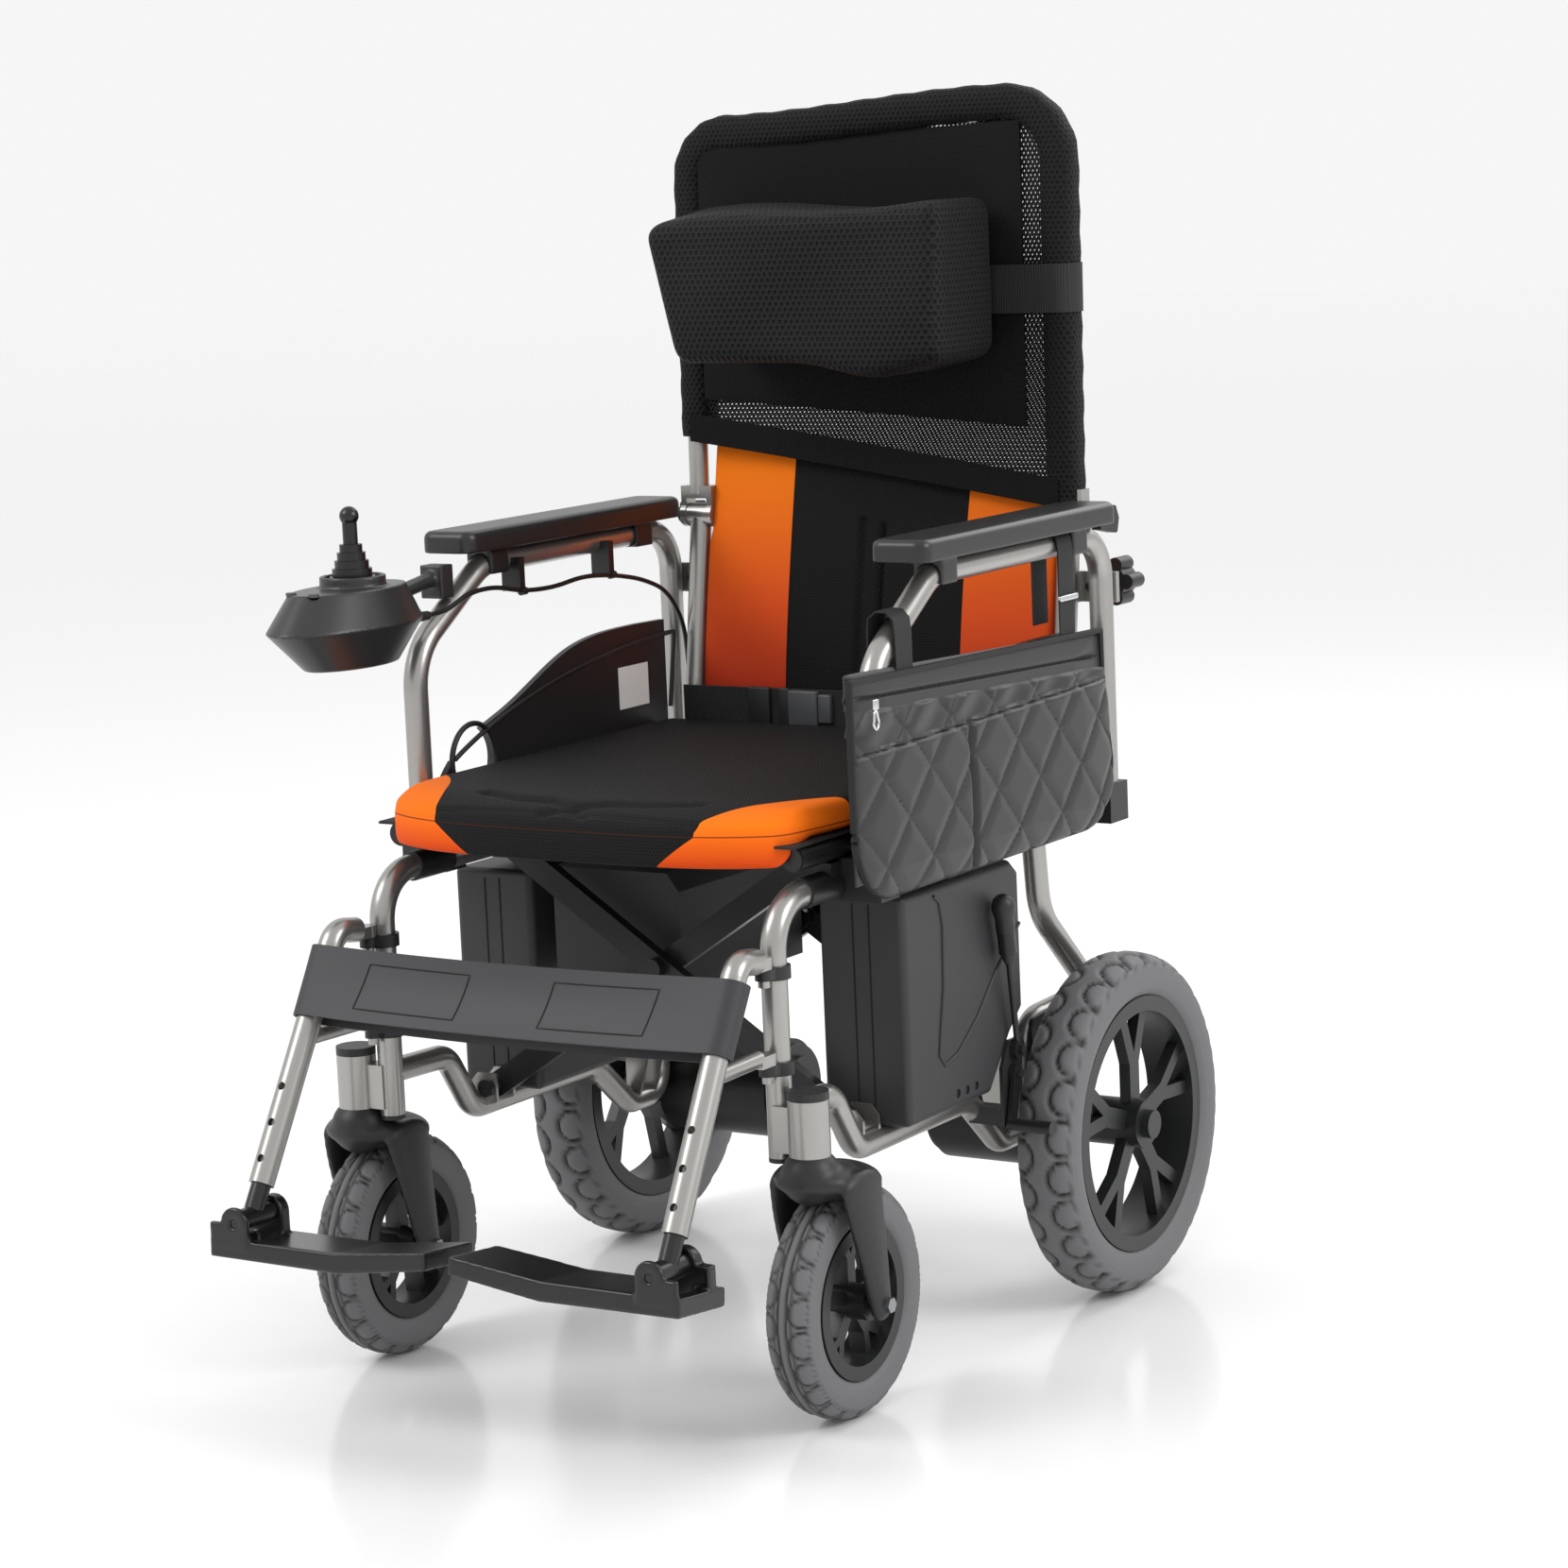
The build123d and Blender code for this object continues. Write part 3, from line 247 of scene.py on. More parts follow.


# Tyre rubber: mid grey, dull, with painted shade that darkens the grooves.
rubber, tree, shader = material("grey_tyre_rubber", "#5D5D5F", 0.60)
grain(tree, shader, 0.0009, 0.00004)
# Painted shade: the tread grooves darken from mid grey to near black.
groove_shade = add(tree, "Attribute", {"attribute_name": "groove"})
shade = add(tree, "Mix", {"data_type": "RGBA"}, Factor=groove_shade.outputs["Fac"], _6=linear("#656567"),
            _7=linear("#131314"))
tree.links.new(shade.outputs[2], shader.inputs["Base Color"])
# Rim plastic: black nylon, satin, with soft edges that catch the light.
rim_plastic, tree, shader = material("black_nylon_rim", "#1C1D1E", 0.40)
grain(tree, shader, 0.0013, 0.00002)
for side in ("left", "right"):
    tyre(side + "_rear_tyre", side + "_drive_wheel", rubber, 0.112, 26, (), 0.0042, 8)
    tyre(side + "_caster_tyre", side + "_caster_wheel", rubber, 0.062, 22, (0.0035, 0.0085), 0.0022, 7)
paint(rim_plastic, *both("rear_rim"), *both("caster_rim"))


# Caster forks. Moulded nylon with a rounded crown and two tapering legs, held on by a bolt at
# each wheel end. It is built up from round lumps that are melted together.
def melt(piece, voxel, rounds):
    """Melts the active piece into one even mesh and rounds it off."""
    piece.data.remesh_voxel_size = voxel
    bpy.ops.object.voxel_remesh()
    bpy.ops.object.mode_set(mode="EDIT")
    bpy.ops.mesh.select_all(action="SELECT")
    bpy.ops.mesh.vertices_smooth(factor=0.5, repeat=rounds)
    bpy.ops.object.mode_set(mode="OBJECT")


def moulded(node, body, coat, voxel, rounds, name):
    """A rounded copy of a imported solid, which stands in for it."""
    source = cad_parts[node]
    piece = source.copy()
    piece.data = source.data.copy()
    for key in list(piece.keys()):
        del piece[key]
    piece.parent = None
    bpy.context.scene.collection.objects.link(piece)
    bpy.ops.object.select_all(action="DESELECT")
    piece.select_set(True)
    bpy.context.view_layer.objects.active = piece
    melt(piece, voxel, rounds)
    finish_mesh(piece, name, [coat], 1.2)
    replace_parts(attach(piece, body), node)
    return piece


bolt_steel = material("zinc_plated_steel", "#9A9B9D", 0.3, 1.0)[0]
for side in ("left", "right"):
    low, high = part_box(side + "_caster_fork")
    hub_low, hub_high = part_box(side + "_caster_tyre")
    axle = (hub_low + hub_high) / 2
    middle = (low.x + high.x) / 2
    stem_y = low.y + 0.024
    lumps = [((middle, stem_y, 0.216), (0.0255, 0.0255, 0.0250)),
             ((middle, stem_y + 0.010, 0.212), (0.0370, 0.0360, 0.0150)),
             ((middle, stem_y + 0.032, 0.205), (0.0430, 0.0400, 0.0160))]
    for way in (-1, 1):
        for step in range(12):
            share = step / 11
            lumps.append(((middle + way * (0.0350 + 0.0025 * math.sin(math.pi * share)),
                           stem_y + 0.022 + 0.022 * share ** 1.6, 0.205 - 0.105 * share),
                          (0.0078, 0.0300 - 0.0165 * share, 0.0150)))
    pieces_made = []
    for place, size in lumps:
        bpy.ops.mesh.primitive_uv_sphere_add(segments=24, ring_count=14, radius=1.0, location=place)
        bpy.context.object.scale = size
        pieces_made.append(bpy.context.object)
    bpy.ops.object.select_all(action="DESELECT")
    for piece in pieces_made:
        piece.select_set(True)
    bpy.ops.object.join()
    fork = bpy.context.object
    bpy.ops.object.transform_apply(location=True, rotation=True, scale=True)
    melt(fork, 0.0018, 12)
    p = read_points(fork)
    away = np.stack([p[:, 1] - axle.y, p[:, 2] - axle.z], axis=1)
    far = np.hypot(away[:, 0], away[:, 1])
    inside = (np.abs(p[:, 0] - middle) < 0.0262) & (far < 0.1045)
    p[inside, 1] = axle.y + away[inside, 0] / far[inside] * 0.1045
    p[inside, 2] = axle.z + away[inside, 1] / far[inside] * 0.1045
    write_points(fork, p)
    finish_mesh(fork, side + "_fork_moulding", [black_plastic], 1.2)
    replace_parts(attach(fork, side + "_caster_swivel"), side + "_caster_fork")
    for way in (-1, 1):
        bpy.ops.mesh.primitive_cylinder_add(vertices=6, radius=0.0068, depth=0.006,
                                            location=(middle + way * 0.0435, axle.y, axle.z),
                                            rotation=(0, math.pi / 2, 0))
        bolt = finish_mesh(bpy.context.object, f"{side}_fork_bolt_{'outer' if way > 0 else 'inner'}",
                           [bolt_steel])
        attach(bolt, side + "_caster_swivel")
    bpy.ops.mesh.primitive_cylinder_add(vertices=40, radius=0.0095, depth=high.z - 0.0005 - 0.228,
                                        location=(middle, stem_y, (high.z + 0.2275) / 2))
    stem = finish_mesh(bpy.context.object, side + "_caster_stem", [bolt_steel])
    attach(stem, side + "_caster_swivel")


# Motors. Stepped black cylinders behind each rear wheel, in a cast case with a satin paint.
motor_paint, tree, shader = material("black_motor_paint", "#161617", 0.38, 0.2)
grain(tree, shader, 0.0012, 0.00002)
paint(motor_paint, *both("drive_motor"))


# Batteries. A charcoal textured case stands on each lower rail, and the controller box hangs
# between the scissor bars. Both are moulded plastic with a fine grain.
def box(low, high, bevel, name, coats, segments=3):
    """A block between two corners with rounded edges."""
    low, high = Vector(low), Vector(high)
    bpy.ops.mesh.primitive_cube_add(size=1.0, location=(low + high) / 2)
    piece = bpy.context.object
    piece.scale = high - low
    bpy.ops.object.transform_apply(location=True, rotation=True, scale=True)
    bpy.ops.object.mode_set(mode="EDIT")
    bpy.ops.mesh.select_all(action="SELECT")
    bpy.ops.mesh.bevel(offset=bevel, segments=segments)
    bpy.ops.object.mode_set(mode="OBJECT")
    return finish_mesh(piece, name, coats)


def tube(points, radius, name, coats, sides=12, closed=False, radii=None):
    """A round bar or bead along smooth points, with its ends closed."""
    curve = bpy.data.curves.new(name, "CURVE")
    curve.dimensions = "3D"
    curve.bevel_depth = radius
    curve.bevel_resolution = sides // 4
    curve.use_fill_caps = True
    spline = curve.splines.new("POLY")
    spline.points.add(len(points) - 1)
    for point, place, share in zip(spline.points, points, radii or [1.0] * len(points)):
        point.co = (*place, 1.0)
        point.radius = share
    spline.use_cyclic_u = closed
    piece = bpy.data.objects.new(name, curve)
    bpy.context.scene.collection.objects.link(piece)
    bpy.ops.object.select_all(action="DESELECT")
    piece.select_set(True)
    bpy.context.view_layer.objects.active = piece
    bpy.ops.object.convert(target="MESH")
    return finish_mesh(bpy.context.object, name, coats, 0.9)


thread_dark = material("black_joint_line", "#080808", 0.8)[0]
case_plastic, tree, shader = material("charcoal_case_plastic", "#2B2B2D", 0.52)
grain(tree, shader, 0.0010, 0.00006)
paint(case_plastic, *both("battery_case"), "controller_box")
for side, sign in (("left", 1), ("right", -1)):
    low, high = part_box(side + "_battery_case")
    face = high.x if sign > 0 else low.x
    raised = []
    for y, z in ((low.y + 0.052, 0.412), (low.y + 0.061, 0.405), (low.y + 0.066, 0.385),
                 (low.y + 0.064, 0.330), (low.y + 0.056, 0.290), (low.y + 0.053, 0.272),
                 (low.y + 0.062, 0.262), (low.y + 0.085, 0.268),
                 (low.y + 0.120, 0.292), (low.y + 0.155, 0.326), (high.y - 0.004, 0.362)):
        raised.append((face + sign * 0.0002, y, z))
    ridge = tube(raised, 0.0016, side + "_battery_ridge", [case_plastic])
    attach(ridge, side + "_side")
    for number, inset in enumerate((0.024, 0.040)):
        y = low.y - 0.0001
        x = face - sign * (inset + 0.010)
        split = box((x - 0.0008, y - 0.0004, low.z + 0.010), (x + 0.0008, y + 0.0004, 0.412), 0.0002,
                    f"{side}_battery_split_{number + 1}", [thread_dark], 1)
        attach(split, side + "_side")


# Seat. A nylon sling hangs between the rails, and a padded cushion lies on it: black spacer
# mesh, with orange corners that wrap over the front edge and a dark binding under it.
def lattice(tree, vector, pitch):
    """Distance from the nearest hole centre in a staggered lattice, in pitches."""
    steps = add(tree, "VectorMath", {"operation": "MULTIPLY"}, _0=vector,
                _1=(1 / pitch, 1 / (pitch * 1.732), 0.0))
    lengths = []
    for shift in (0.0, 0.5):
        moved = add(tree, "VectorMath", {"operation": "ADD"}, _0=steps.outputs[0], _1=(shift, shift, 0.0))
        cell = add(tree, "VectorMath", {"operation": "FRACTION"}, _0=moved.outputs[0])
        local = add(tree, "VectorMath", {"operation": "SUBTRACT"}, _0=cell.outputs[0], _1=(0.5, 0.5, 0.0))
        wide = add(tree, "VectorMath", {"operation": "MULTIPLY"}, _0=local.outputs[0],
                   _1=(1.0, 1.732, 0.0))
        lengths.append(add(tree, "VectorMath", {"operation": "LENGTH"},
                           _0=wide.outputs[0]).outputs["Value"])
    return add(tree, "Math", {"operation": "MINIMUM"}, _0=lengths[0], _1=lengths[1]).outputs[0]


def spacer(name, colour, pitch, roughness, hole=0.30, depth=0.0006, open_holes=False):
    """Spacer mesh: knitted cloth with a staggered lattice of small holes, on the piece's UV."""
    made, tree, shader = material(name, colour, roughness)
    space = add(tree, "TexCoord")
    near = lattice(tree, space.outputs["UV"], pitch)
    rise = add(tree, "MapRange", {"interpolation_type": "SMOOTHSTEP"}, Value=near,
               From_Min=hole - 0.12, From_Max=hole + 0.12)
    bump = add(tree, "Bump", Height=rise.outputs[0], Distance=depth, Strength=1.0)
    tree.links.new(bump.outputs[0], shader.inputs["Normal"])
    dark = add(tree, "Mix", {"data_type": "RGBA"}, Factor=rise.outputs[0],
               _6=linear("#050505"), _7=linear(colour))
    tree.links.new(dark.outputs[2], shader.inputs["Base Color"])
    shader.inputs["Sheen Weight"].default_value = 0.02
    shader.inputs["Specular IOR Level"].default_value = 0.18
    shader.inputs["Sheen Roughness"].default_value = 0.4
    if open_holes:
        tree.links.new(rise.outputs[0], shader.inputs["Alpha"])
    return made, tree, shader, rise


def unwrap(piece):
    """Lays the piece's UV out from six sides at true size, in metres."""
    bpy.ops.object.select_all(action="DESELECT")
    piece.select_set(True)
    bpy.context.view_layer.objects.active = piece
    bpy.ops.object.mode_set(mode="EDIT")
    bpy.ops.mesh.select_all(action="SELECT")
    bpy.ops.uv.cube_project(cube_size=1.0)
    bpy.ops.object.mode_set(mode="OBJECT")


def pad(low, high, cuts, power=6.0, soft=0.9):
    """A soft-cornered block between two corners, cut into a fine grid."""
    low, high = Vector(low), Vector(high)
    bpy.ops.mesh.primitive_cube_add(size=2.0)
    piece = bpy.context.object
    longest = max(high - low)
    for axis in range(3):
        count = max(1, round(cuts * (high - low)[axis] / longest))
        bm = bmesh.new()
        bm.from_mesh(piece.data)
        along = Vector([1.0 if i == axis else 0.0 for i in range(3)])
        for step in range(1, count):
            place = along * (-1.0 + 2.0 * step / count)
            bmesh.ops.bisect_plane(bm, geom=bm.verts[:] + bm.edges[:] + bm.faces[:],
                                   plane_co=place, plane_no=along)
        bm.to_mesh(piece.data)
        bm.free()
    p = read_points(piece)
    half = np.array((high - low) / 2)
    middle = np.array((high + low) / 2)
    real = p * half
    round_off = min(half) * soft
    inner = half - round_off
    core = np.clip(real, -inner, inner)
    away = real - core
    size = (np.abs(away) ** power).sum(1) ** (1 / power)
    pulled = core + away * (np.abs(away).max(1) / np.maximum(size, 1e-9))[:, None]
    write_points(piece, pulled + middle)
    return piece


def groove(points, path, wide, deep, axis, facing):
    """Sinks the points of one face that lie near a line, as a sewn channel does."""
    path = np.array(path)
    flat = [i for i in range(3) if i != axis]
    q = points[:, flat]
    best = np.full(len(q), 1e9)
    for a, b in zip(path[:-1], path[1:]):
        t = np.clip(((q - a) @ (b - a)) / max((b - a) @ (b - a), 1e-12), 0, 1)
        best = np.minimum(best, np.hypot(*(q - a - t[:, None] * (b - a)).T))
    middle = points[:, axis].mean()
    chosen = (points[:, axis] - middle) * facing > 0
    points[:, axis] -= facing * deep * np.exp(-((best / wide) ** 2)) * chosen
    return points


def keep_place(piece):
    """Stores where each point lies, so that the cloth's colours stay on it when it folds."""
    laid = piece.data.attributes.new("place", "FLOAT_VECTOR", "POINT")
    laid.data.foreach_set("vector", read_points(piece).ravel())


# Nylon webbing: black, close ribs across the strap, dull.
webbing, tree, shader = material("black_nylon_webbing", "#141415", 0.68)
space = add(tree, "TexCoord")
ribs = add(tree, "TexWave", {"bands_direction": "X"}, Vector=space.outputs["UV"], Scale=130.0)
bump = add(tree, "Bump", Height=ribs.outputs[1], Distance=0.0003, Strength=1.0)
tree.links.new(bump.outputs[0], shader.inputs["Normal"])

low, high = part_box("seat_sling")
sling = pad((low.x, low.y - 0.018, low.z - 0.0005), high, 60, 8.0)
finish_mesh(sling, "seat_sling_cloth", [webbing])
unwrap(sling)
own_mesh(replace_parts(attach(sling, "seat"), "seat_sling"))

# Cushion cloth: black mesh with fine holes; the corners are smooth orange cloth, brighter
# on top and redder below, parted from the mesh by a dark line.
cushion_cloth, tree, shader, rise = spacer("black_and_orange_seat_cloth", "#151516", 0.0032, 0.72)
laid = add(tree, "Attribute", {"attribute_name": "place"})
place = add(tree, "SeparateXYZ", Vector=laid.outputs["Vector"])
sideways = add(tree, "Math", {"operation": "ABSOLUTE"}, _0=place.outputs[0]).outputs[0]
back = add(tree, "MapRange", Value=place.outputs[1], From_Min=-0.098, From_Max=-0.220, To_Min=0.0,
           To_Max=1.0)
bow = add(tree, "Math", {"operation": "POWER"}, _0=back.outputs[0], _1=0.62).outputs[0]
hang = add(tree, "MapRange", Value=place.outputs[2], From_Min=0.492, From_Max=0.462, To_Min=0.0,
           To_Max=0.040)
reach = add(tree, "Math", {"operation": "MULTIPLY_ADD"}, _0=bow, _1=-0.084, _2=0.2145).outputs[0]
edge = add(tree, "Math", {"operation": "SUBTRACT"}, _0=reach, _1=hang.outputs[0]).outputs[0]
over = add(tree, "Math", {"operation": "SUBTRACT"}, _0=sideways, _1=edge).outputs[0]
corner = add(tree, "MapRange", Value=over, From_Min=0.0, From_Max=0.0004).outputs[0]
line = add(tree, "MapRange", Value=over, From_Min=-0.0022, From_Max=-0.0018).outputs[0]
orange = add(tree, "Mix", {"data_type": "RGBA"}, _6=linear("#DC4A08"), _7=linear("#F47204"),
             Factor=add(tree, "MapRange", Value=place.outputs[2], From_Min=0.470,
                        From_Max=0.500).outputs[0])
mesh_colour = shader.inputs["Base Color"].links[0].from_socket
lined = add(tree, "Mix", {"data_type": "RGBA"}, Factor=line, _6=mesh_colour, _7=linear("#060606"))
mixed = add(tree, "Mix", {"data_type": "RGBA"}, Factor=corner, _6=lined.outputs[2], _7=orange.outputs[2])
off_seam = add(tree, "Math", {"operation": "SUBTRACT"}, _0=place.outputs[2], _1=0.4925).outputs[0]
from_seam = add(tree, "Math", {"operation": "ABSOLUTE"}, _0=off_seam).outputs[0]
seam = add(tree, "MapRange", Value=from_seam, From_Min=0.0004, From_Max=0.0008, To_Min=0.75,
           To_Max=0.0).outputs[0]
sewn = add(tree, "Mix", {"data_type": "RGBA"}, Factor=seam, _6=mixed.outputs[2], _7=linear("#3A1606"))
under = add(tree, "MapRange", Value=place.outputs[2], From_Min=0.4660, From_Max=0.4655).outputs[0]
bound = add(tree, "Mix", {"data_type": "RGBA"}, Factor=under, _6=sewn.outputs[2], _7=linear("#101011"))
tree.links.new(bound.outputs[2], shader.inputs["Base Color"])
lift = add(tree, "Math", {"operation": "MAXIMUM"}, _0=rise.outputs[0], _1=line).outputs[0]
bump = add(tree, "Bump", Height=lift, Distance=0.0005, Strength=1.0)
tree.links.new(bump.outputs[0], shader.inputs["Normal"])

low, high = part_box("seat_cushion")
cushion = pad((low.x, low.y, low.z), (high.x, high.y, high.z + 0.004), 150, 2.4)
p = read_points(cushion)
front = np.clip((low.y + 0.060 - p[:, 1]) / 0.060, 0, 1)
thin = np.clip((high.z - p[:, 2]) / (high.z - low.z), 0, 1)
p[:, 2] -= front ** 2 * (0.010 + 0.016 * thin)
ahead = np.clip((-0.090 - p[:, 1]) / 0.130, 0, 1)
p[:, 0] *= 1 - 0.055 * ahead ** 2
p[:, 1] += 0.040 * ahead * (np.abs(p[:, 0]) / 0.205) ** 4
for sign in (1, -1):
    p = groove(p, [(sign * -0.020, -0.212), (sign * 0.004, -0.196), (sign * 0.030, -0.186),
                   (sign * 0.070, -0.182), (sign * 0.110, -0.170)], 0.0062, 0.0042, 2, 1)
p = groove(p, [(-0.190, -0.213), (0.190, -0.213)], 0.0022, 0.0025, 2, 1)
write_points(cushion, p)
finish_mesh(cushion, "seat_cushion_pad", [cushion_cloth], 1.2)
unwrap(cushion)
keep_place(cushion)
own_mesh(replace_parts(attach(cushion, "seat"), "seat_cushion"))


# Armrests. A silver loop carries a hard black pad on two square blocks, and a moulded skirt
# guard inside it: an arched panel with a hand hole, a raised rim and a plain white label.
# Pad plastic: black polyurethane skin, smooth, with a soft broad sheen.
pad_skin, tree, shader = material("black_polyurethane_skin", "#1F1E1E", 0.36)
grain(tree, shader, 0.0012, 0.00004)
for side in ("left", "right"):
    moulded(side + "_armpad", side + "_armrest", pad_skin, 0.0018, 5,
            side + "_armpad_skin")
guard_plastic, tree, shader = material("black_guard_plastic", "#1A1A1B", 0.44)
grain(tree, shader, 0.0013, 0.00005)
paint(guard_plastic, *both("skirt_guard"))
# Label paper: plain white, matt.
label_paper = material("white_label_paper", "#DDDDDA", 0.6)[0]
for side, sign in (("left", 1), ("right", -1)):
    low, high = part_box(side + "_skirt_guard")
    inner = low.x if sign > 0 else high.x
    face = sorted((inner - sign * 0.0002, inner - sign * 0.0007))
    label = box((face[0], 0.196, 0.528), (face[1], 0.246, 0.568), 0.0001, side + "_guard_label",
                [label_paper], 1)
    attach(label, side + "_armrest")
    arch = []
    for step in range(41):
        y = low.y + 0.030 + (high.y - low.y - 0.055) * step / 40
        share = (y - low.y) / (high.y - low.y)
        arch.append((inner - sign * 0.0008, y, 0.500 + 0.092 * math.sin(math.pi * 0.5 * share ** 0.75)))
    arch.append((inner - sign * 0.0008, high.y - 0.036, 0.520))
    rim = tube(arch, 0.0024, side + "_guard_rim", [guard_plastic])
    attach(rim, side + "_armrest")
    ring = [(inner - sign * 0.0006, -0.040 + 0.0325 * math.cos(a), 0.516 + 0.0325 * math.sin(a))
            for a in np.linspace(0, 2 * math.pi, 48, endpoint=False)]
    lip = tube(ring, 0.0026, side + "_guard_hole_lip", [guard_plastic], closed=True)
    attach(lip, side + "_armrest")


# Side bag. Quilted black nylon with a bound edge, hung on the left armrest by two straps. A
# zip runs near the top, above two open pockets; its puller is silver.
def thicken(piece, thickness, offset=0.0):
    """Gives the active sheet its thickness, on both sides or on one."""
    solid = piece.modifiers.new("cloth", "SOLIDIFY")
    solid.thickness = thickness
    solid.offset = offset
    bpy.ops.object.modifier_apply(modifier="cloth")


# Quilted nylon: black, a soft silky sheen, fine weave.
nylon, tree, shader = material("quilted_black_nylon", "#17171A", 0.44)
grain(tree, shader, 0.0007, 0.00006)
shader.inputs["Sheen Weight"].default_value = 0.08
low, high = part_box("side_bag")
top = 0.620
front_y, back_y = low.y, high.y
skin_in, skin_out = high.x - 0.016, high.x - 0.001
columns, rows = 190, 120
bpy.ops.mesh.primitive_grid_add(x_subdivisions=columns, y_subdivisions=rows, size=2.0)
bag = bpy.context.object
p = read_points(bag)
s = (p[:, 0] + 1) / 2
t = (p[:, 1] + 1) / 2
lean = 0.012 * t
y = front_y + (back_y - front_y - lean) * s
rise = low.z + (top + 0.003 - low.z) * t - 0.017 * s * t
corner = 0.055
from_side = np.minimum(y - front_y, back_y - y)
cut_in = np.clip((corner - from_side) / corner, 0, 1)
bottom = low.z + corner * (1 - np.sqrt(np.clip(1 - cut_in ** 2, 0, 1)))
rise = bottom + (rise - low.z) / (top - low.z) * (top - bottom)
diamond = 0.076
quilt = np.minimum(np.abs(((y + rise) / diamond) % 1.0 - 0.5), np.abs(((y - rise) / diamond) % 1.0 - 0.5))
puff = 0.0034 * np.clip(quilt * 5, 0, 1) ** 0.35
edge = np.minimum.reduce([s, 1 - s, t, 1 - t])
belly = 0.006 * np.clip(edge * 8, 0, 1) ** 0.5
drop = 0.003 - 0.017 * s
upper = np.clip((rise - (top + drop - 0.068 + 0.026 * s)) / 0.003, 0, 1)
split = np.exp(-(((s - 0.42) / 0.008) ** 2)) * (1 - upper)
band = np.exp(-(((rise - (top + drop - 0.069 + 0.026 * s)) / 0.0016) ** 2))
zip_line = np.exp(-(((rise - (top + drop - 0.022)) / 0.0022) ** 2))
strip = np.clip((rise - (top + drop - 0.034)) / 0.002, 0, 1)
puff = puff * (1 - strip)
rumple = 0.0016 * np.sin(y * 90 + np.sin(rise * 60) * 2) * upper * (1 - strip)
outward = skin_in + belly + puff + rumple
outward = outward - 0.0035 * upper - 0.006 * split - 0.004 * band - 0.0015 * zip_line
write_points(bag, np.stack([np.minimum(outward, skin_out), y, rise], axis=1))
thicken(bag, 0.0025, -1.0)
face_outward()
finish_mesh(bag, "side_bag_front", [nylon], 1.2)
unwrap(bag)
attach(bag, "left_armrest")
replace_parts(bag, "side_bag")
back_panel = box((low.x + 0.0008, front_y + 0.002, low.z + 0.016),
                 (low.x + 0.0032, back_y - 0.010, top - 0.018), 0.001, "side_bag_back", [nylon])
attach(back_panel, "left_armrest")
binding = []
for a in np.linspace(0, 1, 20):
    binding.append((skin_in, front_y + 0.001, top - 0.004 - a * (top - 0.004 - low.z - corner)))
for a in np.linspace(math.pi, 1.5 * math.pi, 14):
    binding.append((skin_in, front_y + corner + 0.001 + corner * math.cos(a),
                    low.z + corner + 0.002 + corner * math.sin(a)))
for a in np.linspace(1.5 * math.pi, 2 * math.pi, 14):
    binding.append((skin_in, back_y - corner - 0.001 + corner * math.cos(a),
                    low.z + corner + 0.002 + corner * math.sin(a)))
binding.append((skin_in, back_y - 0.013, top - 0.014))
binding_piece = tube(binding, 0.0036, "side_bag_binding", [webbing], closed=True)
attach(binding_piece, "left_armrest")

# Zip teeth: one dark coil along the strip, and a bright nickel slider.
nickel = material("bright_nickel", "#C9CACC", 0.22, 1.0)[0]
coil_points = [(skin_in + 0.0015 + 0.0008 * math.sin(i * 2.1), front_y + 0.014 + i * 0.0016,
                top - 0.019 - 0.017 * i / 262 + 0.0012 * math.cos(i * 2.1))
               for i in range(262)]
coil = tube(coil_points, 0.0006, "side_bag_zip_teeth", [webbing], 4)
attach(coil, "left_armrest")
low_zip, high_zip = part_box("zip_slider")
slider = box((low_zip.x, low_zip.y, high_zip.z - 0.009), (high_zip.x, high_zip.y, high_zip.z), 0.0012,
             "zip_slider_body", [nickel])
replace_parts(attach(slider, "zip_slider"), "zip_slider")
puller = []
for a in np.linspace(0, 2 * math.pi, 24, endpoint=False):
    stretch = 0.0085 if math.sin(a) > 0 else 0.0070
    puller.append((low_zip.x + 0.0012,
                   (low_zip.y + high_zip.y) / 2 + (0.0030 if math.sin(a) > 0 else 0.0042) * math.cos(a),
                   (low_zip.z + high_zip.z) / 2 - 0.003 + stretch * math.sin(a)))
pull = tube(puller, 0.0013, "zip_puller", [nickel], closed=True)
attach(pull, "zip_slider")

# Straps: flat webbing from the bag's top, over the armrest tube and back down.
for number, (strap_y, tube_z) in enumerate(((-0.062, 0.652), (0.226, 0.690))):
    loop = []
    tube_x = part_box("left_armrest_frame")[0].x + 0.011
    for x, z in ((0.0136, top - 0.045), (0.0136, tube_z - 0.006), (0.0122, tube_z + 0.006),
                 (0.006, tube_z + 0.0125), (-0.004, tube_z + 0.013), (-0.0118, tube_z + 0.007),
                 (-0.0132, tube_z - 0.004), (-0.0132, top - 0.002)):
        loop.append((tube_x + x, z))
    bpy.ops.mesh.primitive_plane_add(size=1.0)
    strap = bpy.context.object
    bm = bmesh.new()
    rails = [[bm.verts.new((x, strap_y + off, z)) for x, z in loop] for off in (-0.0135, 0.0, 0.0135)]
    for first, second in zip(rails[:-1], rails[1:]):
        for i in range(len(loop) - 1):
            bm.faces.new((first[i], first[i + 1], second[i + 1], second[i]))
    bm.to_mesh(strap.data)
    bm.free()
    thicken(strap, 0.0014)
    strap.location = (0, 0, 0)
    finish_mesh(strap, f"bag_strap_{number + 1}", [webbing], 0.9)
    unwrap(strap)
    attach(strap, "left_armrest")
buckle = box((0.2488, 0.2095, 0.640), (0.2528, 0.2425, 0.6455), 0.0015, "bag_strap_slider", [nickel])
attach(buckle, "left_armrest")


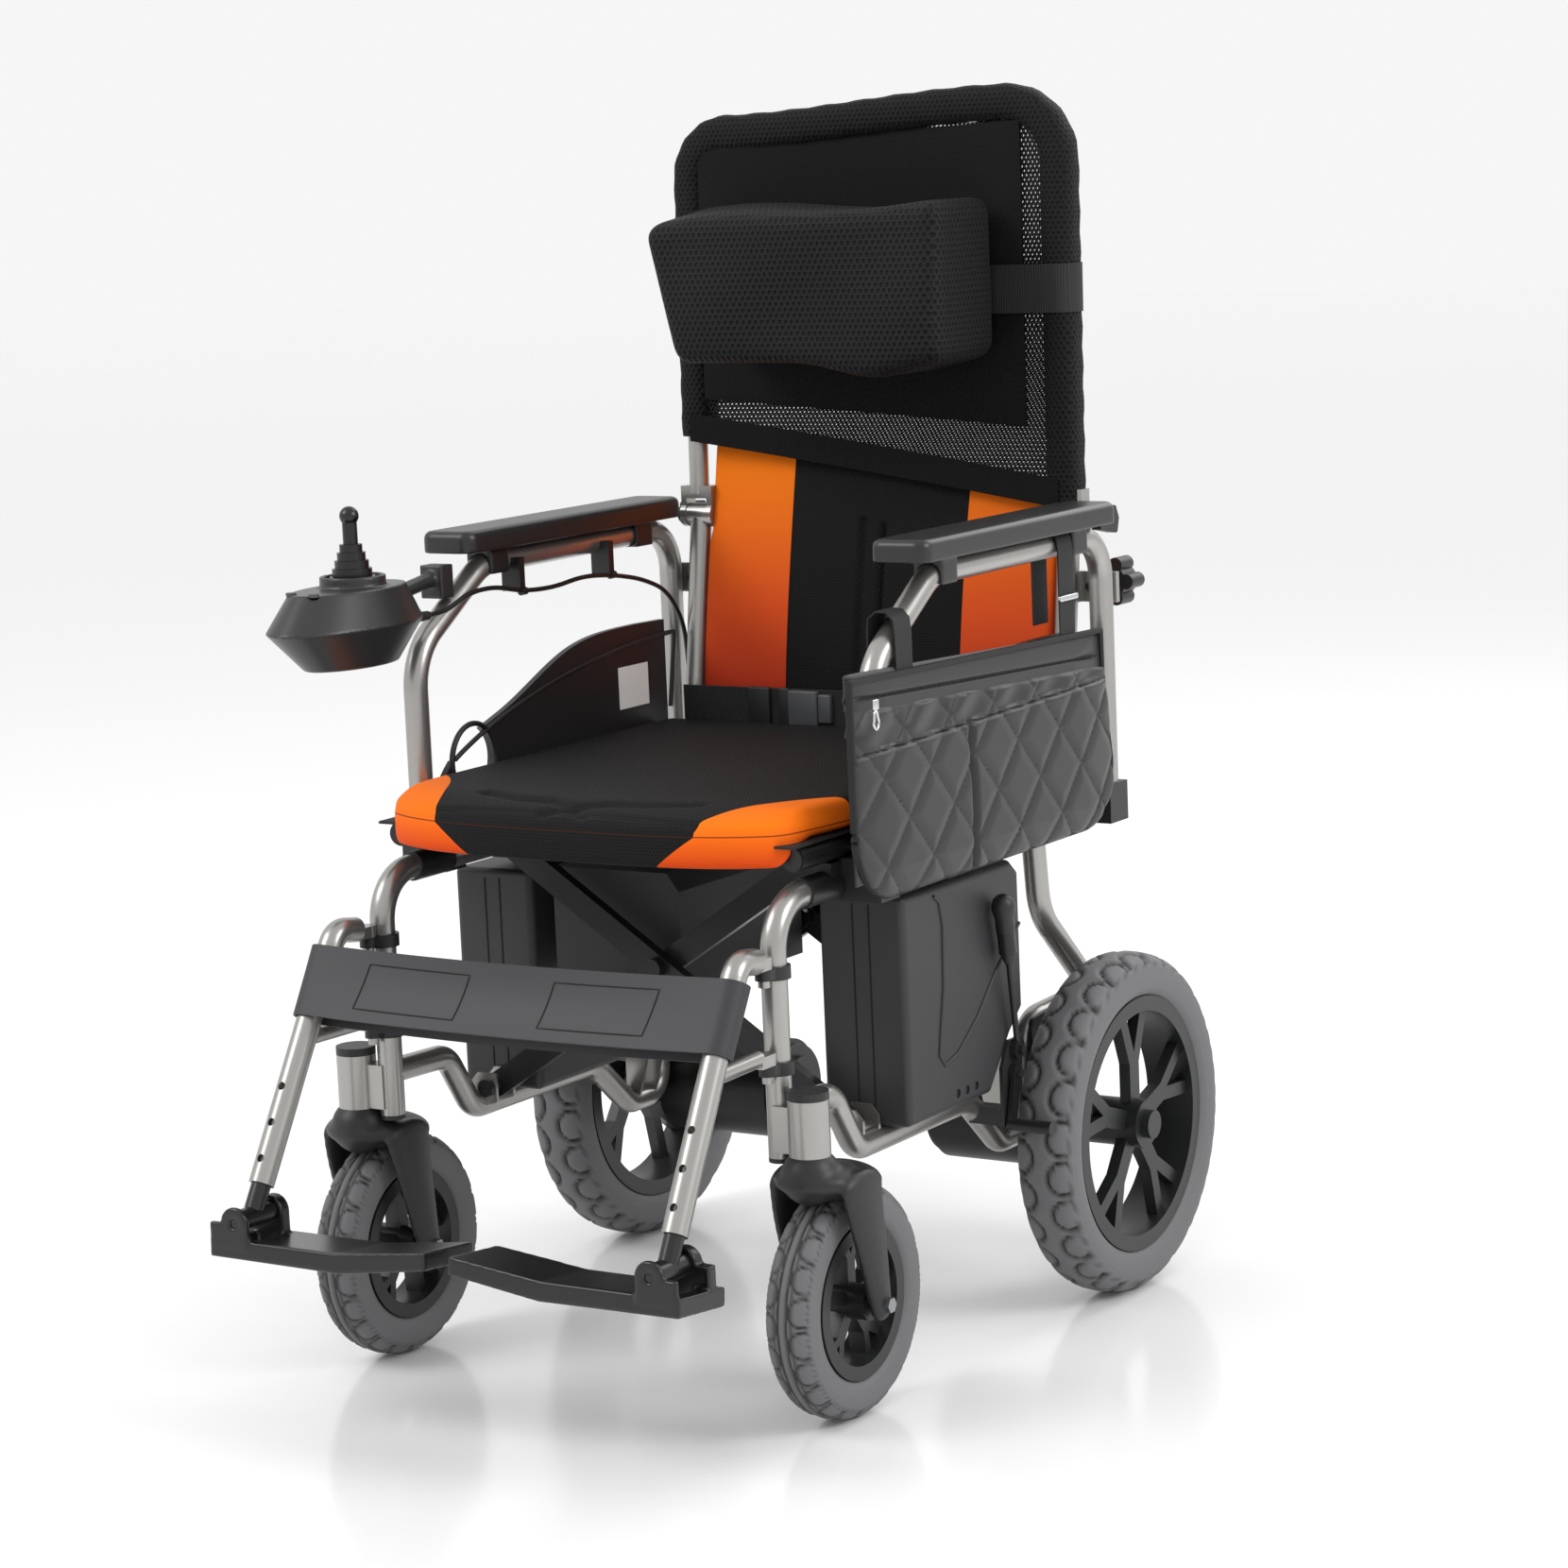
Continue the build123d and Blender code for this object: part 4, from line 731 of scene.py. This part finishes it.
# Joystick. A faceted pod on a black arm under the right pad: a smooth shell, a bellows
# boot with a bulb-ended stick, and two small buttons.
# Pod plastic: charcoal, satin, with a fine grain.
pod_plastic, tree, shader = material("charcoal_pod_plastic", "#29292A", 0.34)
grain(tree, shader, 0.0012, 0.00002)
moulded("joystick_housing", "right_armrest", pod_plastic, 0.0016, 4, "joystick_shell")
# Boot rubber: black, soft sheen on every fold.
boot_rubber = material("black_boot_rubber", "#0F0F10", 0.30)[0]
paint(boot_rubber, "joystick_stick", "joystick_gimbal")
# Button rubber: grey, matt.
button_rubber = material("grey_button_rubber", "#4A4A4C", 0.5)[0]
paint(button_rubber, "power_button", "horn_button")
# Lead sheath: black vinyl, soft sheen.
lead_vinyl = material("black_lead_vinyl", "#101011", 0.42)[0]
paint(lead_vinyl, "joystick_lead", "controller_lead")


# Brakes. A steel hand lever on each side with a teardrop grip of black plastic; it pulls a dark
# link that presses a round bar on the tyre.
paint(dark_coat, *both("brake_lever"))
for side, sign in (("left", 1), ("right", -1)):
    low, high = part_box(side + "_brake_lever")
    tip = Vector((sign * 0.2475, low.y + 0.0100, high.z - 0.0100))
    run = Vector((sign * 0.0065, -0.027, 0.135)).normalized()
    shape = ((0.0095, 0.10), (0.0085, 0.42), (0.0055, 0.82), (0.0, 1.0), (-0.006, 0.97), (-0.013, 0.80),
             (-0.020, 0.82), (-0.034, 0.72), (-0.050, 0.52), (-0.056, 0.30))
    grip = tube([tip + run * along for along, _ in shape], 0.0108, side + "_brake_grip", [black_plastic],
                24, radii=[share for _, share in shape])
    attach(grip, side + "_brake_lever")


# Legrests. Black footplates with soft edges on the inner tubes, and a wide nylon calf
# strap sewn round both silver tubes.
def skin(bm, rings):
    """Lays faces between neighbouring closed rings of points."""
    for upper, lower in zip(rings[:-1], rings[1:]):
        for i in range(len(upper)):
            k = (i + 1) % len(upper)
            bm.faces.new((upper[i], upper[k], lower[k], lower[i]))


for side in ("left", "right"):
    moulded(side + "_footplate", side + "_footplate", gloss_plastic, 0.0015, 6,
            side + "_footplate_moulding")
# Strap cloth: dark grey nylon, fine weave, a little shine at the folds.
strap_cloth, tree, shader = material("dark_grey_strap_nylon", "#2E2E31", 0.55)
grain(tree, shader, 0.0009, 0.0001)
thread = material("black_thread", "#0A0A0A", 0.8)[0]
low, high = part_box("calf_strap")
slope = Vector((0.0, -0.50088, -0.86560))
face = Vector((0.0, -0.86560, 0.50088))
start = Vector((0.0, (low.y + high.y) / 2, (low.z + high.z) / 2)) - slope * 0.0315
half_loop, depth = high.x, 0.0138
outline = []
for a in np.linspace(-math.pi / 2, math.pi / 2, 16):
    outline.append((half_loop - depth + depth * math.cos(a), depth * math.sin(a)))
for a in np.linspace(math.pi / 2, 1.5 * math.pi, 16):
    outline.append((-half_loop + depth + depth * math.cos(a), depth * math.sin(a)))
dense = []
for first, second in zip(outline, outline[1:] + outline[:1]):
    count = max(1, int(math.dist(first, second) / 0.006))
    dense += [(first[0] + (second[0] - first[0]) * k / count,
               first[1] + (second[1] - first[1]) * k / count) for k in range(count)]
bpy.ops.mesh.primitive_plane_add(size=1.0)
calf = bpy.context.object
bm = bmesh.new()
rings = []
for step in range(13):
    ring = []
    for x, out in dense:
        share = 1 - (abs(x) / half_loop) ** 2
        sag = 0.004 * share * (1 if out > 0 else 1.6) * math.sin(math.pi * step / 12)
        place = (start + slope * (0.063 * step / 12 + 0.004 * share)
                 + face * (out - sag if out > 0 else out + sag))
        ring.append(bm.verts.new((x, place.y, place.z)))
    rings.append(ring)
skin(bm, rings)
bm.to_mesh(calf.data)
bm.free()
thicken(calf, 0.002)
finish_mesh(calf, "calf_strap_cloth", [strap_cloth], 0.9)
unwrap(calf)
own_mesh(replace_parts(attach(calf, "left_legrest"), "calf_strap"))
for number, centre in enumerate((-0.095, 0.095)):
    corners = [(-0.052, 0.012), (0.052, 0.012), (0.046, 0.052), (-0.058, 0.052)]
    line = []
    for (x1, v1), (x2, v2) in zip(corners, corners[1:] + corners[:1]):
        for k in range(8):
            x = centre + x1 + (x2 - x1) * k / 8
            v = v1 + (v2 - v1) * k / 8
            share = 1 - (abs(x) / half_loop) ** 2
            sag = 0.004 * share * math.sin(math.pi * v / 0.063)
            place = start + slope * (v + 0.004 * share) + face * (depth + 0.0012 - sag)
            line.append((x, place.y, place.z))
    seam = tube(line, 0.0006, f"calf_strap_seam_{number + 1}", [thread], 4, True)
    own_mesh(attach(seam, "left_legrest"))


# Back. A tall mesh cover slips over both posts: a padded rim, see-through side strips and
# bottom band, and a padded inner panel. The pillow is strapped across it.
cover_mesh = spacer("black_padded_spacer_mesh", "#161617", 0.0052, 0.66, 0.28, 0.0013)[0]
panel_mesh = spacer("black_fine_panel_mesh", "#0F0F10", 0.0024, 0.75, 0.24, 0.0004)[0]
window_mesh = spacer("black_open_window_mesh", "#1C1C1D", 0.0046, 0.7, 0.335, 0.0003, True)[0]
low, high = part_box("back_mesh_cover")


def mid_y(z):
    """Middle of the cover's depth at a height, which follows the posts."""
    return 0.3252 + (z - 0.702) * 0.0217


def hem_z(x):
    """Lower edge of the cover, which slants down to the user's left."""
    return 0.744 - 0.030 * x / 0.2


rim_line = []
rim_half, rim_top, rim_turn, far_turn = high.x - 0.0145, high.z - 0.0145, 0.056, 0.044
far_top = rim_top - 0.017
for a in np.linspace(0, 1, 30):
    rim_line.append((-rim_half, hem_z(-rim_half) + 0.004
                     + a * (far_top - far_turn - hem_z(-rim_half) - 0.004)))
for a in np.linspace(math.pi, math.pi / 2, 14)[1:]:
    rim_line.append((-rim_half + far_turn + far_turn * math.cos(a),
                     far_top - far_turn + far_turn * math.sin(a)))
for a in np.linspace(0, 1, 30)[1:-1]:
    across = -rim_half + far_turn + a * (2 * rim_half - rim_turn - far_turn)
    rim_line.append((across, far_top + (rim_top - far_top) * a * a * (3 - 2 * a)))
for a in np.linspace(math.pi / 2, 0, 14):
    rim_line.append((rim_half - rim_turn + rim_turn * math.cos(a),
                     rim_top - rim_turn + rim_turn * math.sin(a)))
for a in np.linspace(0, 1, 34)[1:]:
    rim_line.append((rim_half, rim_top - rim_turn - a * (rim_top - rim_turn - hem_z(rim_half) - 0.004)))
bpy.ops.mesh.primitive_plane_add(size=1.0)
rim = bpy.context.object
bm = bmesh.new()
rings = []
for i, (x, z) in enumerate(rim_line):
    before, after = rim_line[max(i - 1, 0)], rim_line[min(i + 1, len(rim_line) - 1)]
    along = Vector((after[0] - before[0], 0, after[1] - before[1])).normalized()
    out = Vector((-along.z, 0, along.x))
    ring = []
    for a in np.linspace(0, 2 * math.pi, 36, endpoint=False):
        c, s = math.cos(a), math.sin(a)
        wide = 0.0165 * math.copysign(abs(c) ** 0.75, c) - 0.002
        deep = 0.0165 * math.copysign(abs(s) ** 0.75, s)
        wave = 0.0006 * math.sin(i * 1.7 + a * 2)
        spot = Vector((x, mid_y(z), z)) + out * (wide + wave) + Vector((0, deep, 0))
        spot.x = max(low.x, min(high.x, spot.x))
        ring.append(bm.verts.new(spot))
    rings.append(ring)
skin(bm, rings)
bm.faces.new(rings[0])
bm.faces.new(rings[-1])
bmesh.ops.recalc_face_normals(bm, faces=bm.faces)
bm.to_mesh(rim.data)
bm.free()
finish_mesh(rim, "back_cover_rim", [cover_mesh], 1.2)
unwrap(rim)
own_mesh(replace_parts(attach(rim, "left_back"), "back_mesh_cover"))


def cover_sheet(name, coats, left, right, floor_line, ceiling, out, thick, bulge):
    """A panel of the back cover between two sides, from a slanted line up to a height."""
    bpy.ops.mesh.primitive_grid_add(x_subdivisions=60, y_subdivisions=50, size=2.0)
    piece = bpy.context.object
    p = read_points(piece)
    s, t = (p[:, 0] + 1) / 2, (p[:, 1] + 1) / 2
    x = left + (right - left) * s
    base = np.array([floor_line(value) for value in x])
    z = base + (np.array([ceiling(value) for value in x]) - base) * t
    rise = bulge * (np.clip(4 * s * (1 - s), 0, 1) * np.clip(4 * t * (1 - t), 0, 1)) ** 0.35
    y = mid_y(z) + out - rise + 0.010 * (1 - (x / 0.2) ** 2)
    write_points(piece, np.stack([x, y, z], axis=1))
    thicken(piece, thick)
    face_outward()
    finish_mesh(piece, name, coats, 1.2)
    unwrap(piece)
    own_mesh(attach(piece, "left_back"))
    return piece


for name, depth in (("back_cover_windows_front", -0.010), ("back_cover_windows_rear", 0.011)):
    cover_sheet(name, [window_mesh], -0.196, 0.196, lambda x: hem_z(x) + 0.012,
                lambda x: high.z - 0.038 + 0.04 * x, depth, 0.0008, 0.0)
cover_sheet("back_cover_panel", [panel_mesh], -0.184, 0.164,
            lambda x: hem_z(x) + 0.056 + 0.015 * x / 0.2, lambda x: high.z - 0.040 + 0.04 * x, -0.013,
            0.004, 0.004)
cover_sheet("back_cover_hem", [panel_mesh], -0.199, 0.199, hem_z, lambda x: hem_z(x) + 0.026, -0.017,
            0.004, 0.0)

# Pillow: a soft block of coarse black mesh with a slanted far end and a drooping lower edge,
# held by a flat strap round the cover.
pillow_mesh = spacer("black_coarse_pillow_mesh", "#1A1A1B", 0.0062, 0.62, 0.28, 0.0015)[0]
low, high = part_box("headrest_pillow")
pillow = pad(low, (high.x - 0.032, high.y, high.z), 130, 3.0, 0.42)
p = read_points(pillow)
s = (p[:, 0] - low.x) / (high.x - 0.032 - low.x)
t = (p[:, 2] - low.z) / (high.z - low.z)
d = (high.y - p[:, 1]) / (high.y - low.y)
p[:, 0] += 0.032 * (1 - t) * np.clip(1 - s * 3, 0, 1)
p[:, 2] += (1 - t) * (0.012 - 0.014 * np.exp(-(((s - 0.76) / 0.16) ** 2))) - 0.016 * d * t * (1 - s) ** 2
p[:, 2] += t * 0.004 * np.sin(s * 7.0)
p[:, 1] -= 0.004 * np.sin(s * 9.0) * np.sin(t * 5.0) * d
write_points(pillow, p)
finish_mesh(pillow, "headrest_pillow_pad", [pillow_mesh], 1.2)
unwrap(pillow)
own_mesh(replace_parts(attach(pillow, "left_back"), "headrest_pillow"))

low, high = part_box("headrest_strap")
bpy.ops.mesh.primitive_plane_add(size=1.0)
band = bpy.context.object
bm = bmesh.new()
outline = []
for a in np.linspace(-math.pi / 2, math.pi / 2, 14):
    outline.append((high.x - 0.0186 + 0.0186 * math.cos(a), 0.0186 * math.sin(a)))
for a in np.linspace(math.pi / 2, 1.5 * math.pi, 14):
    outline.append((low.x + 0.0186 + 0.0186 * math.cos(a), 0.0186 * math.sin(a)))
rings = []
for z in np.linspace(low.z, high.z, 5):
    rings.append([bm.verts.new((x, mid_y(z) + y + 0.006 * (1 - (x / high.x) ** 2) * (y < 0), z))
                  for x, y in outline])
skin(bm, rings)
bm.to_mesh(band.data)
bm.free()
thicken(band, 0.0012)
finish_mesh(band, "headrest_strap_band", [webbing], 0.9)
unwrap(band)
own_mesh(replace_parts(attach(band, "left_back"), "headrest_strap"))

# Back pad: black mesh between two bright orange side strips that turn red lower down, with two
# sewn channels near its middle. Its top goes up behind the cover's hem.
pad_cloth, tree, shader, rise = spacer("black_and_orange_back_cloth", "#131314", 0.0030, 0.72)
laid = add(tree, "Attribute", {"attribute_name": "place"})
place = add(tree, "SeparateXYZ", Vector=laid.outputs["Vector"])
sideways = add(tree, "Math", {"operation": "ABSOLUTE"}, _0=place.outputs[0]).outputs[0]
strip = add(tree, "MapRange", Value=sideways, From_Min=0.0948, From_Max=0.0952).outputs[0]
line = add(tree, "MapRange", Value=sideways, From_Min=0.0922, From_Max=0.0926).outputs[0]
down = add(tree, "MapRange", Value=place.outputs[2], From_Min=0.515, From_Max=0.745).outputs[0]
glow = add(tree, "ValToRGB", Fac=down)
glow.color_ramp.elements[0].color = linear("#A82418")
glow.color_ramp.elements[1].color = linear("#F87A02")
glow.color_ramp.elements.new(0.45).color = linear("#E2521A")
mesh_colour = shader.inputs["Base Color"].links[0].from_socket
lined = add(tree, "Mix", {"data_type": "RGBA"}, Factor=line, _6=mesh_colour, _7=linear("#060606"))
mixed = add(tree, "Mix", {"data_type": "RGBA"}, Factor=strip, _6=lined.outputs[2], _7=glow.outputs[0])
tree.links.new(mixed.outputs[2], shader.inputs["Base Color"])
lift = add(tree, "Math", {"operation": "MAXIMUM"}, _0=rise.outputs[0], _1=line).outputs[0]
bump = add(tree, "Bump", Height=lift, Distance=0.0004, Strength=1.0)
tree.links.new(bump.outputs[0], shader.inputs["Normal"])
low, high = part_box("back_pad")
back_pad = pad((low.x, 0.300, low.z), (high.x, 0.320, 0.762), 130, 3.0)
p = read_points(back_pad)
t = (p[:, 2] - low.z) / (0.762 - low.z)
p[:, 1] += 0.042 * t ** 1.4 - 0.006
p[:, 2] -= 0.15 * p[:, 0] * t ** 3
narrow = np.clip((p[:, 2] - 0.672) / 0.016, 0, 1)
p[:, 0] *= 1 - 0.015 * narrow
p = groove(p, [(0.006, 0.500), (0.006, 0.800)], 0.0030, 0.0045, 1, -1)
p = groove(p, [(-0.016, 0.500), (-0.016, 0.800)], 0.0030, 0.0045, 1, -1)
write_points(back_pad, p)
finish_mesh(back_pad, "back_pad_cloth", [pad_cloth], 1.2)
unwrap(back_pad)
keep_place(back_pad)
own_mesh(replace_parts(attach(back_pad, "left_side"), "back_pad"))

# Seat belt: flat black webbing across the back of the seat, with a dark grey side-release
# buckle and a black slider.
low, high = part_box("seat_belt")
belt = box((low.x, high.y - 0.0022, low.z + 0.001), (high.x, high.y - 0.0004, high.z - 0.003), 0.0005,
           "seat_belt_webbing", [webbing], 1)
unwrap(belt)
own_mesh(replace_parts(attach(belt, "left_side"), "seat_belt"))
# Buckle plastic: dark grey acetal, satin.
buckle_plastic = material("grey_acetal_buckle", "#4B4C4E", 0.38)[0]
parts = (("belt_buckle_body", -0.066, -0.034, 0.0085, 0.003, buckle_plastic),
         ("belt_buckle_prong", -0.034, -0.020, 0.0070, 0.006, buckle_plastic),
         ("belt_buckle_bar", -0.078, -0.066, 0.0065, 0.001, black_plastic),
         ("belt_slider", -0.112, -0.088, 0.0060, 0.001, black_plastic))
for name, left, right, deep, inset, coat in parts:
    clip = box((left, high.y - deep, low.z + inset), (right, high.y - 0.0001, high.z - 0.001 - inset),
               0.0016, name, [coat])
    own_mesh(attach(clip, "left_side"))

bpy.context.view_layer.update()
